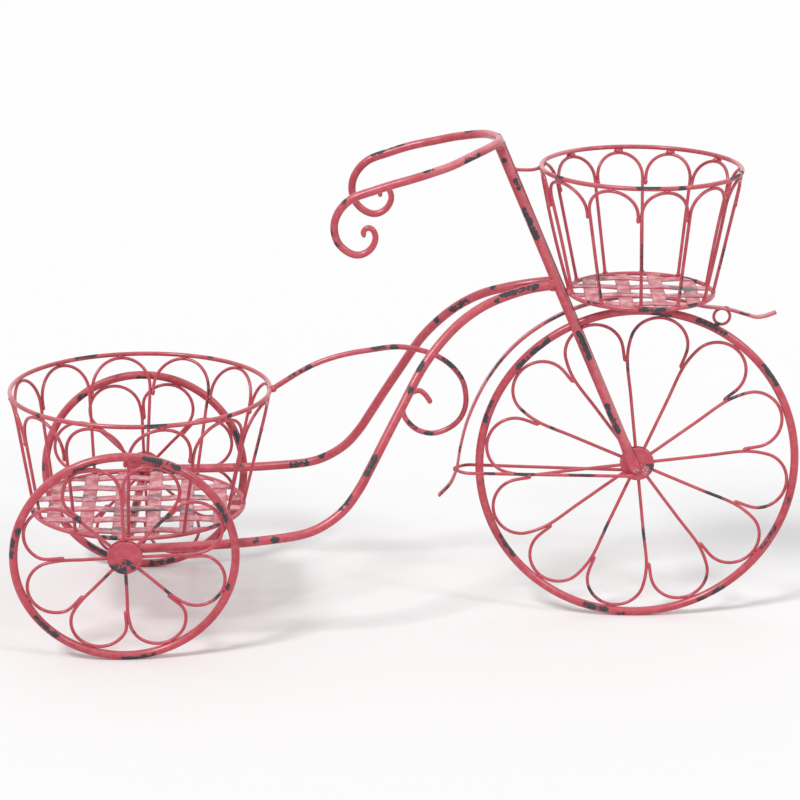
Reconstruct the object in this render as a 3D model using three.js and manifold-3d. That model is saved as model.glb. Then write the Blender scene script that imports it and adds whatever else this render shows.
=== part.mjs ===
// A three-wheeled bicycle planter of painted steel tube and wire: two baskets for flower pots,
// carried by side rails, a raked fork and three wheels with petal spokes. Every joint is welded.
// Millimetres, +Z up, +X towards the front wheel, near side at -Y. The origin is under the middle.

import * as THREE from 'three';
import { mergeVertices } from 'three/addons/utils/BufferGeometryUtils.js';
import Module from 'manifold-3d';

const wasm = await Module();
wasm.setup();

const degree = Math.PI / 180;

// Welded seats
const fit = 0.3;
const cutOverrun = 5;

// Overall plan
const wheelBase = 606.8;
const track = 335;

// Front wheel
const frontWheelRadius = 195.6;
const frontPetals = 12;
const frontSpokeAngle = 6.8 * degree;
const frontArchRise = 33.5;
const frontArchWidthShare = 0.232;

// Rear wheels, of which the near one is a little larger, leans outwards and toes in
const nearWheelRadius = 133.2;
const farWheelShortfall = 3.1;
const rearPetals = 8;
const rearSpokeAngle = 2 * degree;
const rearArchRise = 31.8;
const rearArchWidthShare = 0.369;
const nearWheelLean = 7.1 * degree;
const nearWheelToe = 4 * degree;

// Stock that all the wheels share
const rimTube = 10;
const petalWire = 4;
const petalNub = 14;
const hubRadius = 20.5;
const hubPlate = 2.5;
const hubDish = 0.4;
const spokeRoot = 14;

// Fork, raked back from the front hub
const legTube = 11.5;
const forkRake = 23.4 * degree;
const forkSetback = 5;
const farLegLead = 2.1;
const legEndThickness = 5;
const legEndWidthShare = 1.25;
const legEndLength = 42;
const legEndDrop = 10;

// Handlebar, bent from one tube with a curl at each grip
const barTube = 10;
const barHeadRise = 32.2;
const barReach = 151.5;
const barSpread = 86;
const barTail = 8;
const barTailSteps = 13;
const barFall = 90.5;
const curlRadius = 27.5;
const nearCurlBack = 163.5;
const farCurlBack = 143.5;
const farCurlRise = 9;

// Side rails, from the axle up to the fork
const railTube = 11;
const railInset = 17;
const railLift = 3.5;
const railJointRise = 10.9;

// Cross axle and scroll brace
const axleTube = 11;
const scrollTube = 6.5;

// Fender strip over the front wheel, its small ring and its stay
const fenderThickness = 3;
const fenderWidth = 10;
const ringAngle = 62.6 * degree;
const ringRadius = 11.4;
const ringWire = 3.6;
const stayWire = 4;
const stayDrop = 8.1;
const stayHalfGap = 17;
const stayEndDrop = 5;
const stayEndBack = 6;

// Baskets
const basketRimWire = 5.4;
const floorRingWire = 5.4;
const caneWire = 4;
const armWire = 4;
const armDrop = 2.5;
const slatWidth = 16.5;
const slatLanding = 0.5;
const slatThickness = 1.5;
const slatWeld = 0.2;

const frontRimRadius = 117.5;
const frontBasketDepth = 150.2;
const frontRimSetback = 3.6;
const frontFloorRadius = 85.7;
const frontFloorGap = 18.9;
const frontCaneNub = 8;
const frontSlatPitchShare = 0.461;
const frontSlatCount = 4;
const frontWeaveTurn = -2 * degree;
const frontWeavePhase = 0;

const rearFloorGap = 14.6;
const rearBasketFlare = 27.4;
const rearBasketDepth = 144.8;
const rearRimLead = 8.8;
const rearFloorLead = 3.6;
const rearCaneNub = 7;
const rearSlatPitchShare = 0.31;
const rearSlatCount = 6;
const rearWeaveTurn = 2.5 * degree;
const rearWeavePhase = 1;

// Heights that follow: the near wheel's hub carries the axle, and the front wheel all that is above it
const axleHeight = nearWheelRadius;
const farWheelRadius = nearWheelRadius - farWheelShortfall;
const frontFloorHeight = frontWheelRadius * 2 + frontFloorGap;
const frontRimHeight = frontFloorHeight + frontBasketDepth;
const barHeadHeight = frontRimHeight + barHeadRise;
const railJointHeight = frontFloorHeight + railJointRise;
const stayHeight = frontWheelRadius - stayDrop;
const rearFloorHeight = axleHeight + (axleTube + floorRingWire) / 2 + fit;

// The rear basket's floor fits between the side rails.
const rearFloorRadius = track / 2 - railInset - (railTube + floorRingWire) / 2 - rearFloorGap;
const rearRimRadius = rearFloorRadius + rearBasketFlare;

// Facets
const tubeSides = 8;
const wireSides = 5;
const hoopSides = 6;
const frontRimSteps = 48;
const rearRimSteps = 36;
const basketHoopSteps = 32;
const smallRingSteps = 16;
const archSteps = 8;
const hubSteps = 12;
const railSteps = 26;
const barSteps = 72;
const scrollSteps = 28;
const fenderSteps = 28;

// Routes of the bent tubes, as shares of the sizes that they follow.
// Rail: how far along, how far out and how high it is, from the axle to the fork.
const railShares = [
  [0, 1, 0], [0.18, 0.969, 0.011], [0.318, 0.937, 0.028], [0.417, 0.9, 0.054], [0.461, 0.872, 0.088],
  [0.503, 0.832, 0.145], [0.536, 0.78, 0.221], [0.566, 0.714, 0.315], [0.596, 0.636, 0.414],
  [0.636, 0.526, 0.542], [0.685, 0.388, 0.694], [0.731, 0.288, 0.794], [0.775, 0.21, 0.865],
  [0.825, 0.139, 0.92], [0.874, 0.079, 0.953], [0.934, 0.025, 0.981], [1, 0, 0.998],
];

// Bar arm: back from the head, out from the middle and down from the head.
const barArmShares = [
  [0, 0, 0], [0.012, 0.16, 0.002], [0.045, 0.32, 0.009], [0.104, 0.495, 0.027], [0.182, 0.629, 0.064],
  [0.261, 0.736, 0.106], [0.339, 0.841, 0.15], [0.418, 0.905, 0.194], [0.496, 0.94, 0.233],
  [0.575, 0.977, 0.271], [0.7, 1, 0.333], [0.82, 1, 0.392],
];

// Curl: forward and up from its middle, ending in a tight hook.
const curlShares = [
  [0.58, 1.72], [-0.36, 1.35], [-0.87, 0.8], [-1.05, 0.18], [-0.88, -0.51], [-0.38, -0.95],
  [0.05, -1.02], [0.47, -0.78], [0.68, -0.33], [0.58, 0.04], [0.36, 0.15], [0.17, -0.03],
  [0.22, -0.27],
];

// Canes: the angle in degrees of each one's foot. The front basket's were set less evenly by hand.
const frontCaneAngles = [18.5, 53, 84, 115, 148.5, 179.5, 195, 232.5, 265, 295, 325, 351];
const rearCaneAngles = [29, 59, 89, 119, 149, 179, 209, 239, 269, 299, 329, 359];

// Scroll: forward and up, from the rear basket's rim.
const scrollShares = [
  [0, 0], [0.198, 0.123], [0.35, 0.18], [0.521, 0.213], [0.643, 0.228], [0.747, 0.214], [0.848, 0.18],
  [0.931, 0.119], [0.982, 0.045], [1, -0.04], [0.995, -0.1], [0.969, -0.158], [0.915, -0.207],
  [0.829, -0.236], [0.739, -0.211], [0.678, -0.134], [0.68, -0.069], [0.72, -0.018], [0.761, -0.007],
  [0.796, -0.036], [0.82, -0.075],
];

// Fender: angle in degrees round the front hub and distance from it.
const fenderBackAngles = [189.4, 186.3, 184, 181.3, 175, 165, 150, 135, 120, 105, 90, 79, 70];
const fenderBackShares = [
  1.159, 1.087, 1.062, 1.044, 1.031, 1.02, 1.012, 1.011, 1.006, 1.002, 1, 1.001, 1.006,
];
const fenderTailAngles = [56, 53.6, 52, 50.5];
const fenderTailShares = [1.079, 1.097, 1.13, 1.182];

// A bent wire's centreline, with one station at each of its points.
class Route extends THREE.Curve {
  constructor(points) {
    super();
    this.points = points;
  }

  station(share) {
    return Math.round(share * (this.points.length - 1));
  }

  getPointAt(share) {
    return this.points[this.station(share)].clone();
  }

  getTangentAt(share) {
    const here = this.station(share);
    const before = this.points[Math.max(here - 1, 0)];
    const after = this.points[Math.min(here + 1, this.points.length - 1)];
    const arriving = this.points[here].clone().sub(before).normalize();
    const leaving = after.clone().sub(this.points[here]).normalize();
    return arriving.add(leaving).normalize();
  }
}

function smoothRoute(stations, steps) {
  return new THREE.CatmullRomCurve3(stations, false, 'centripetal').getSpacedPoints(steps);
}

// A solid round bar of a given diameter along a list of points.
function bentBar(points, diameter, sides) {
  const section = new THREE.Shape();
  for (let side = 0; side < sides; side += 1) {
    const turn = (side / sides) * 2 * Math.PI;
    const corner = [Math.cos(turn) * diameter / 2, Math.sin(turn) * diameter / 2];
    if (side === 0) section.moveTo(...corner);
    else section.lineTo(...corner);
  }
  section.closePath();
  const extrudePath = new Route(points);
  return new THREE.ExtrudeGeometry(section, { steps: points.length - 1, extrudePath });
}

// A geometry whose faces share their corners, so that a turned shape closes on itself.
function sealed(geometry) {
  const bare = geometry.clone();
  bare.deleteAttribute('normal');
  bare.deleteAttribute('uv');
  const shared = mergeVertices(bare);
  shared.computeVertexNormals();
  return shared;
}

// A closed hoop of round wire, lying level round the middle.
function hoop(radius, wire, steps, sides) {
  const section = [];
  for (let side = 0; side <= sides; side += 1) {
    const turn = (side % sides / sides) * 2 * Math.PI;
    section.push(new THREE.Vector2(radius + Math.cos(turn) * wire / 2, Math.sin(turn) * wire / 2));
  }
  return sealed(new THREE.LatheGeometry(section, steps)).rotateX(Math.PI / 2);
}

// A hoop's facets come nearer to its middle than its corners do.
function clearRadius(radius, wire, steps) {
  return (radius - wire / 2) * Math.cos(Math.PI / steps);
}

// A flat bar whose middle line is drawn in the XZ plane, centred on the middle plane.
function flatBar(line, thickness, width) {
  const upper = [];
  const lower = [];
  line.forEach((point, index) => {
    const before = line[Math.max(index - 1, 0)];
    const after = line[Math.min(index + 1, line.length - 1)];
    const along = after.clone().sub(before).normalize();
    const aside = new THREE.Vector2(-along.y, along.x).multiplyScalar(thickness / 2);
    upper.push(point.clone().add(aside));
    lower.unshift(point.clone().sub(aside));
  });
  const outline = new THREE.Shape([...upper, ...lower]);
  const bar = new THREE.ExtrudeGeometry(outline, { depth: width, bevelEnabled: false });
  return bar.translate(0, 0, -width / 2).rotateX(Math.PI / 2);
}

// Solids that can be joined and cut.
function toSolid(geometry) {
  const shared = sealed(geometry);
  const vertProperties = new Float32Array(shared.attributes.position.array);
  const triVerts = new Uint32Array(shared.index.array);
  return new wasm.Manifold(new wasm.Mesh({ numProp: 3, vertProperties, triVerts }));
}

function toGeometry(solid) {
  const mesh = solid.getMesh();
  const geometry = new THREE.BufferGeometry();
  geometry.setAttribute('position', new THREE.BufferAttribute(mesh.vertProperties, 3));
  geometry.setIndex(new THREE.BufferAttribute(mesh.triVerts, 1));
  geometry.computeVertexNormals();
  return geometry;
}

function fuse(geometries) {
  return toGeometry(geometries.map(toSolid).reduce((whole, piece) => whole.add(piece)));
}

function cut(geometry, tools) {
  const body = toSolid(geometry);
  return toGeometry(tools.map(toSolid).reduce((whole, tool) => whole.subtract(tool), body));
}

// Painted steel: red on tube, a little lighter on wire, paler still on the flat slats.
function paint(colour) {
  return new THREE.MeshStandardMaterial({ color: colour, roughness: 0.5, metalness: 0.1 });
}

function piece(name, geometry, colour) {
  const mesh = new THREE.Mesh(geometry, paint(colour));
  mesh.name = name;
  return mesh;
}

const tubeRed = 0xc4485a;
const wireRed = 0xc95566;
const slatPink = 0xd4838e;
const planter = new THREE.Group();

// Fork lines: where each leg is at a height, on the near side (-1) or the far side (1)
const forkTop = barHeadHeight - barTube / 4;
const splayGap = rimTube / 2 + fit + legTube / 2;
const headGap = legTube / 2 + fit / 2;

function legX(side, height) {
  const lead = side > 0 ? farLegLead * (height - frontWheelRadius) / (forkTop - frontWheelRadius) : 0;
  return wheelBase - forkSetback - (height - frontWheelRadius) * Math.tan(forkRake) + lead;
}

function legY(side, height) {
  const rise = Math.max(height - frontFloorHeight, 0) / (forkTop - frontFloorHeight);
  return side * THREE.MathUtils.lerp(splayGap, headGap, rise);
}

function legPoint(side, height) {
  return new THREE.Vector3(legX(side, height), legY(side, height), height);
}

// Handlebar, one tube from curl to curl, bent round over the tops of the legs
function barRoute() {
  const headX = legX(1, forkTop);
  const arm = (side, fall) => barArmShares.map(([back, out, down]) => new THREE.Vector3(
    headX - back * barReach, side * out * barSpread, barHeadHeight - down * fall));
  const curl = (side, back, rise) => curlShares.map(([forward, up]) => new THREE.Vector3(
    headX - back + forward * curlRadius, side * barSpread,
    barHeadHeight - barFall + rise + up * curlRadius));
  const near = [...arm(-1, barFall).slice(1), ...curl(-1, nearCurlBack, 0)];
  const far = [...arm(1, barFall - farCurlRise), ...curl(1, farCurlBack, farCurlRise)];
  return smoothRoute([...near.reverse(), ...far], barSteps);
}

// The tube is drawn thinner round each curl.
function handlebar() {
  const route = barRoute();
  const last = route.length - 1;
  const nearCurl = bentBar(route.slice(0, barTailSteps + 1), barTail, tubeSides);
  const farCurl = bentBar(route.slice(last - barTailSteps), barTail, tubeSides);
  const body = bentBar(route.slice(barTailSteps, last - barTailSteps + 1), barTube, tubeSides);
  return fuse([body, nearCurl, farCurl]);
}

planter.add(piece('handlebar', handlebar(), tubeRed));

// A leg is pressed flat where it lies on the hub plate, and coped under the handlebar.
function forkLeg(side) {
  const foot = frontWheelRadius - legEndDrop;
  const press = foot + legEndLength;
  const bends = [1 / 3, 2 / 3].map((share) => THREE.MathUtils.lerp(foot, press, share));
  const heights = [foot, ...bends, press, frontFloorHeight, forkTop];
  const bar = bentBar(heights.map((height) => legPoint(side, height)), legTube, tubeSides);
  const inner = side * (rimTube / 2 + fit);
  const place = bar.attributes.position;
  const along = new THREE.Vector3(-Math.sin(forkRake), 0, Math.cos(forkRake));
  for (let corner = 0; corner < place.count; corner += 1) {
    const spot = new THREE.Vector3().fromBufferAttribute(place, corner);
    const pressed = THREE.MathUtils.smoothstep(press - spot.z, 0, legEndLength * 2 / 3);
    const axis = legPoint(side, foot);
    const away = spot.clone().sub(axis);
    away.y = 0;
    const run = along.clone().multiplyScalar(away.dot(along));
    const spread = away.sub(run).multiplyScalar(1 + (legEndWidthShare - 1) * pressed);
    const depth = (spot.y - inner) * THREE.MathUtils.lerp(1, legEndThickness / legTube, pressed);
    place.setXYZ(corner, axis.x + run.x + spread.x, inner + depth, axis.z + run.z + spread.z);
  }
  return cut(bar, [bentBar(barRoute(), barTube + fit * 2, tubeSides)]);
}

planter.add(piece('near_fork_leg', forkLeg(-1), tubeRed));
planter.add(piece('far_fork_leg', forkLeg(1), tubeRed));

// Side rails, coped over the axle and against the fork legs
const longBar = (from, to, diameter) => bentBar([from, to], diameter, tubeSides * 2);

function sideRail(side) {
  const start = new THREE.Vector3(0, side * (track / 2 - railInset), axleHeight + railLift);
  const end = legPoint(side, railJointHeight);
  const stations = railShares.map(([along, out, up]) => new THREE.Vector3(
    THREE.MathUtils.lerp(start.x, end.x, along),
    THREE.MathUtils.lerp(end.y, start.y, out),
    THREE.MathUtils.lerp(start.z, end.z, up)));
  const rail = bentBar(smoothRoute(stations, railSteps), railTube, tubeSides);
  const reach = railTube + cutOverrun;
  const legSeat = longBar(legPoint(side, railJointHeight - reach),
    legPoint(side, railJointHeight + reach), legTube + fit * 2);
  const axleSeat = longBar(new THREE.Vector3(0, start.y - reach, axleHeight),
    new THREE.Vector3(0, start.y + reach, axleHeight), axleTube + fit * 2);
  return cut(rail, [legSeat, axleSeat]);
}

planter.add(piece('near_side_rail', sideRail(-1), tubeRed));
planter.add(piece('far_side_rail', sideRail(1), tubeRed));

// Wheels: a rim, one flower of petal wires and two hub plates, upright in the XZ plane
function petal(wheelRadius, steps, petals, archRise, archWidthShare) {
  const halfAngle = Math.PI / petals;
  const crown = clearRadius(wheelRadius - rimTube / 2, rimTube, steps) - fit - petalWire / 2;
  const archHeight = crown - archRise;
  const archHalfWidth = archHeight * archWidthShare;
  const points = [];
  const meet = archHeight - archHalfWidth / 2;
  points.push(new THREE.Vector2(-spokeRoot * Math.sin(halfAngle), spokeRoot * Math.cos(halfAngle)));
  points.push(new THREE.Vector2(-meet * Math.tan(halfAngle), meet));
  for (let step = 0; step <= archSteps; step += 1) {
    const turn = Math.PI * (1 - step / archSteps);
    points.push(new THREE.Vector2(archHalfWidth * Math.cos(turn),
      archHeight + (crown - archHeight) * Math.sin(turn)));
  }
  const nubHeight = meet - petalNub / 2;
  points.push(new THREE.Vector2(nubHeight * Math.tan(halfAngle), nubHeight));
  return points;
}

function flower(wheelRadius, steps, petals, firstSpoke, archRise, archWidthShare, hand) {
  const outline = petal(wheelRadius, steps, petals, archRise, archWidthShare);
  const wires = [];
  for (let count = 0; count < petals; count += 1) {
    const middle = firstSpoke + hand * (count + 1 / 2) * 2 * Math.PI / petals;
    const across = new THREE.Vector3(hand * -Math.sin(middle), 0, hand * Math.cos(middle));
    const outward = new THREE.Vector3(Math.cos(middle), 0, Math.sin(middle));
    const points = outline.map((point) => across.clone().multiplyScalar(point.x)
      .addScaledVector(outward, point.y));
    wires.push(bentBar(points, petalWire, wireSides));
  }
  return fuse(wires);
}

// A hub plate with a dished face, drawn as a half section and turned round its axis.
function hubDisc(side) {
  const inner = petalWire / 2 + fit;
  const bevel = hubPlate / 3;
  const section = [
    [0, inner], [hubRadius - bevel, inner], [hubRadius, inner + bevel],
    [hubRadius, inner + hubPlate - bevel], [hubRadius - bevel, inner + hubPlate],
    [0, inner + hubPlate - hubDish],
  ].map(([radius, out]) => new THREE.Vector2(radius, out));
  const disc = new THREE.LatheGeometry(section, hubSteps);
  return side > 0 ? disc : disc.rotateX(Math.PI);
}

function wheel(label, radius, steps, flowerGeometry, hubRise) {
  const group = new THREE.Group();
  group.add(piece(`${label}_rim`, hoop(radius - rimTube / 2, rimTube, steps, tubeSides)
    .rotateX(Math.PI / 2), tubeRed));
  group.add(piece(`${label}_petals`, flowerGeometry, wireRed));
  const plates = [['near', -1], ['far', 1]].map(([where, side]) => {
    const plate = piece(`${label}_${where}_hub_plate`, hubDisc(side), tubeRed);
    plate.position.z = hubRise;
    return plate;
  });
  group.add(...plates);
  return group;
}

const frontFlower = flower(frontWheelRadius, frontRimSteps, frontPetals, frontSpokeAngle, frontArchRise,
  frontArchWidthShare, -1);
const frontWheel = wheel('front_wheel', frontWheelRadius, frontRimSteps, frontFlower, 0);
frontWheel.position.set(wheelBase, 0, frontWheelRadius);
planter.add(frontWheel);

function rearWheel(label, side, radius, lean, toe) {
  const petals = flower(radius, rearRimSteps, rearPetals, rearSpokeAngle, rearArchRise,
    rearArchWidthShare, 1);
  const centreHeight = radius * Math.cos(lean);
  const hubRise = (axleHeight - centreHeight) / Math.cos(lean);
  const group = wheel(label, radius, rearRimSteps, petals, hubRise);
  group.position.set(0, side * track / 2, centreHeight);
  group.rotation.set(lean, 0, toe, 'ZYX');
  return group;
}

const nearWheel = rearWheel('near_rear_wheel', -1, nearWheelRadius, nearWheelLean, nearWheelToe);
const farWheel = rearWheel('far_rear_wheel', 1, farWheelRadius, 0, 0);
planter.add(nearWheel, farWheel);

// Cross axle, mitred against the inner hub plates
function crossAxle() {
  const nearEnd = new THREE.Vector3(0, -track / 2, axleHeight);
  const farEnd = new THREE.Vector3(0, track / 2, axleHeight);
  const bar = longBar(nearEnd, farEnd, axleTube);
  const faces = [[nearWheel, 1], [farWheel, -1]].map(([group, inward]) => {
    group.updateMatrixWorld(true);
    const depth = hubRadius * 2;
    const seat = inward * (petalWire / 2 + fit + hubPlate + fit);
    const block = new THREE.BoxGeometry(depth, depth, depth).translate(0, seat - inward * depth / 2, 0);
    return block.applyMatrix4(group.matrixWorld);
  });
  return cut(bar, faces);
}

planter.add(piece('cross_axle', crossAxle(), tubeRed));

// Baskets: a level rim and floor ring, canes bent into arches between them, and a woven floor
function caneRoute(basket, cane) {
  const first = basket.caneAngles[cane] * degree;
  const next = basket.caneAngles[(cane + 1) % basket.caneAngles.length] * degree;
  const pitch = (next - first + 2 * Math.PI) % (2 * Math.PI);
  const meanPitch = 2 * Math.PI / basket.caneAngles.length;
  const crownRadius = basket.rimRadius;
  const crownHeight = basket.rimHeight - basket.rimWire / 2 - fit - caneWire / 2;
  const footHeight = basket.floorHeight + basket.ringWire / 2 + fit;
  const at = (turn, height) => {
    const rise = (height - footHeight) / (crownHeight - footHeight);
    const radius = THREE.MathUtils.lerp(basket.floorRadius, crownRadius, rise);
    const middle = THREE.MathUtils.lerp(basket.floorX, basket.rimX, rise);
    return new THREE.Vector3(middle + radius * Math.cos(turn), radius * Math.sin(turn), height);
  };
  const archRise = crownRadius * meanPitch / 2 - caneWire / 2;
  const spring = crownHeight - archRise;
  const springShare = (spring - footHeight) / (crownHeight - footHeight);
  const springRadius = THREE.MathUtils.lerp(basket.floorRadius, crownRadius, springShare);
  const span = pitch - (caneWire + fit) / springRadius;
  const points = [at(first, footHeight), at(first, THREE.MathUtils.lerp(footHeight, spring, 1 / 2))];
  for (let step = 0; step <= archSteps; step += 1) {
    const turn = Math.PI * step / archSteps;
    points.push(at(first + span * (1 - Math.cos(turn)) / 2, spring + archRise * Math.sin(turn)));
  }
  points.push(at(first + span, spring - basket.caneNub));
  return points;
}

// Slats cross over and under each other, welded where they cross and to the inside of the ring.
const slatSag = (slatThickness - slatWeld) / 2;

function wovenFloor(basket) {
  const reach = clearRadius(basket.floorRadius, basket.ringWire, basketHoopSteps) - fit;
  const places = [];
  for (let slat = 0; slat < basket.slatCount; slat += 1) {
    places.push((slat - (basket.slatCount - 1) / 2) * basket.slatPitch);
  }
  const slats = [];
  for (const crossways of [false, true]) {
    places.forEach((place, row) => {
      const order = crossways ? basket.slatCount - 1 - row : row;
      const line = [new THREE.Vector2(-reach - cutOverrun, -slatSag)];
      places.forEach((crossing, column) => {
        const over = (order + column + basket.weavePhase) % 2 === (crossways ? 1 : 0);
        const height = over ? slatSag : -slatSag;
        line.push(new THREE.Vector2(crossing - slatWidth / 2 - slatLanding, height));
        line.push(new THREE.Vector2(crossing + slatWidth / 2 + slatLanding, height));
      });
      line.push(new THREE.Vector2(reach + cutOverrun, -slatSag));
      const slat = flatBar(line, slatThickness, slatWidth).translate(0, place, 0);
      slats.push(crossways ? slat.rotateZ(Math.PI / 2) : slat);
    });
  }
  const trim = new THREE.CylinderGeometry(reach, reach, cutOverrun * 2, basketHoopSteps);
  const woven = toGeometry(toSolid(fuse(slats)).intersect(toSolid(trim.rotateX(Math.PI / 2))));
  return woven.rotateZ(basket.weaveTurn).translate(basket.floorX, 0, basket.floorHeight);
}

function addBasket(label, basket) {
  const rimHoop = hoop(basket.rimRadius, basket.rimWire, basketHoopSteps, hoopSides);
  const rim = piece(`${label}_rim`, rimHoop, tubeRed);
  rim.position.set(basket.rimX, 0, basket.rimHeight);
  const ring = piece(`${label}_floor_ring`,
    hoop(basket.floorRadius, basket.ringWire, basketHoopSteps, hoopSides), tubeRed);
  ring.position.set(basket.floorX, 0, basket.floorHeight);
  planter.add(rim, ring, piece(`${label}_woven_floor`, wovenFloor(basket), slatPink));
  basket.caneAngles.forEach((_, cane) => {
    const number = String(cane + 1).padStart(2, '0');
    const wire = bentBar(caneRoute(basket, cane), caneWire, wireSides);
    planter.add(piece(`${label}_cane_${number}`, wire, wireRed));
  });
}

// The front basket's floor ring rests against the far fork leg.
const ringOuter = frontFloorRadius + floorRingWire / 2;
const legFront = legX(1, frontFloorHeight) + legTube / 2 / Math.cos(forkRake);
const legOut = legY(1, frontFloorHeight);
const frontFloorX = legFront + fit + Math.sqrt(ringOuter ** 2 - legOut ** 2);

const frontBasket = {
  rimRadius: frontRimRadius,
  rimHeight: frontRimHeight,
  rimX: frontFloorX - frontRimSetback,
  rimWire: basketRimWire,
  floorRadius: frontFloorRadius,
  floorHeight: frontFloorHeight,
  floorX: frontFloorX,
  ringWire: floorRingWire,
  caneAngles: frontCaneAngles,
  caneNub: frontCaneNub,
  slatPitch: frontFloorRadius * frontSlatPitchShare,
  slatCount: frontSlatCount,
  weaveTurn: frontWeaveTurn,
  weavePhase: frontWeavePhase,
};
addBasket('front_basket', frontBasket);

// The rear basket's floor ring lies across the axle.
const rearBasket = {
  rimRadius: rearRimRadius,
  rimHeight: rearFloorHeight + rearBasketDepth,
  rimX: rearRimLead,
  rimWire: basketRimWire,
  floorRadius: rearFloorRadius,
  floorHeight: rearFloorHeight,
  floorX: rearFloorLead,
  ringWire: floorRingWire,
  caneAngles: rearCaneAngles,
  caneNub: rearCaneNub,
  slatPitch: rearFloorRadius * rearSlatPitchShare,
  slatCount: rearSlatCount,
  weaveTurn: rearWeaveTurn,
  weavePhase: rearWeavePhase,
};
addBasket('rear_basket', rearBasket);

// A short arm ties the front basket's rim to the fork.
function basketArm() {
  const height = frontBasket.rimHeight - armDrop;
  const aside = legY(1, height) - armWire / 2;
  const seat = Math.sqrt(Math.max((legTube / 2) ** 2 - aside ** 2, 0)) / Math.cos(forkRake);
  const legFace = legX(1, height) + seat + armWire / 2 * Math.tan(forkRake);
  const rimBack = frontBasket.rimX - frontBasket.rimRadius - frontBasket.rimWire / 2;
  const ends = [legFace + fit, rimBack - fit].map((along) => new THREE.Vector3(along, 0, height));
  return bentBar(ends, armWire, tubeSides);
}

planter.add(piece('front_basket_arm', basketArm(), wireRed));

// Fender strip, close under the front basket's floor, with a ring that props its tail on the wheel.
// The strip climbs as it passes the ring, so it is seated further out there to leave the fit.
const floorUnderside = frontBasket.floorHeight - slatSag - slatThickness / 2;
const fenderRadius = floorUnderside - fit - fenderThickness / 2 - frontWheelRadius;
const ringCentreRadius = frontWheelRadius + fit + ringRadius;
const ringSeatRadius = ringCentreRadius + ringRadius + fit * 3 + fenderThickness / 2;

function fenderPoint(turn, reach) {
  const hub = new THREE.Vector3(wheelBase, 0, frontWheelRadius);
  return hub.add(new THREE.Vector3(reach * Math.cos(turn), 0, reach * Math.sin(turn)));
}

// How far the strip's middle is from the hub, behind the wheel, at an angle in degrees
function fenderReach(angle) {
  const after = fenderBackAngles.findIndex((station) => station <= angle);
  const share = THREE.MathUtils.mapLinear(angle, fenderBackAngles[after], fenderBackAngles[after - 1],
    fenderBackShares[after], fenderBackShares[after - 1]);
  return share * fenderRadius;
}

function fenderLine() {
  const run = (angles, shares) => angles.map((angle, index) => fenderPoint(angle * degree,
    shares[index] * fenderRadius));
  const stations = [
    ...run(fenderBackAngles, fenderBackShares),
    fenderPoint(ringAngle, ringSeatRadius),
    ...run(fenderTailAngles, fenderTailShares),
  ];
  return smoothRoute(stations, fenderSteps).map((point) => new THREE.Vector2(point.x, point.z));
}

planter.add(piece('fender_strip', flatBar(fenderLine(), fenderThickness, fenderWidth), tubeRed));

const ringHoop = hoop(ringRadius - ringWire / 2, ringWire, smallRingSteps, hoopSides);
const ring = piece('fender_ring', ringHoop, wireRed);
ring.rotation.x = Math.PI / 2;
ring.position.copy(fenderPoint(ringAngle, ringCentreRadius));
planter.add(ring);

// Fender stay: one wire, bent round the wheel from hub to hub and seated inside the strip
function fenderStay() {
  const reach = fenderReach(180 + Math.asin(stayDrop / fenderRadius) / degree);
  const bendX = wheelBase - Math.sqrt(reach ** 2 - stayDrop ** 2) + fenderThickness / 2 + fit * 2
    + stayWire / 2 + stayHalfGap;
  const endGap = rimTube / 2 + fit + legEndThickness + fit + stayWire / 2;
  const endHeight = stayHeight - stayEndDrop;
  const end = (side) => new THREE.Vector3(wheelBase - stayEndBack, side * endGap, endHeight);
  const points = [end(-1)];
  for (let step = 0; step <= archSteps * 2; step += 1) {
    const turn = Math.PI * step / archSteps / 2;
    points.push(new THREE.Vector3(bendX - stayHalfGap * Math.sin(turn), -stayHalfGap * Math.cos(turn),
      stayHeight));
  }
  points.push(end(1));
  return bentBar(points, stayWire, hoopSides);
}

planter.add(piece('fender_stay', fenderStay(), wireRed));

// Scroll brace from the rear basket's rim, long enough to lie against the back of the fender strip
function scrollBrace() {
  const stations = scrollShares.map(([forward, up]) => new THREE.Vector3(forward, 0, up));
  const shape = smoothRoute(stations, scrollSteps);
  const leaving = shape[1].clone().normalize();
  const start = new THREE.Vector3(rearBasket.rimX + rearBasket.rimRadius, 0, rearBasket.rimHeight)
    .addScaledVector(leaving, rearBasket.rimWire / 2 + fit);
  const fromHub = start.clone().sub(new THREE.Vector3(wheelBase, 0, frontWheelRadius));
  const clearance = (length) => Math.min(...shape.map((way) => {
    const spot = fromHub.clone().addScaledVector(way, length);
    return spot.length() - fenderReach(Math.atan2(spot.z, spot.x) / degree);
  }));
  let length = 0;
  for (let step = wheelBase / 4; step > fit / 100; step /= 2) {
    if (clearance(length + step) > (fenderThickness + scrollTube) / 2 + fit) length += step;
  }
  return bentBar(shape.map((way) => start.clone().addScaledVector(way, length)), scrollTube, tubeSides);
}

planter.add(piece('scroll_brace', scrollBrace(), tubeRed));

// Stand the planter on the ground with the origin under the middle of its box.
planter.updateMatrixWorld(true);
const box = new THREE.Box3().setFromObject(planter, true);
planter.position.set(-(box.min.x + box.max.x) / 2, -(box.min.y + box.max.y) / 2, -box.min.z);

export default planter;
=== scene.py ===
from math import cos, pi, radians, sin, sqrt, tan

import bmesh
import bpy
import numpy
from mathutils import Matrix, Vector, noise


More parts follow.
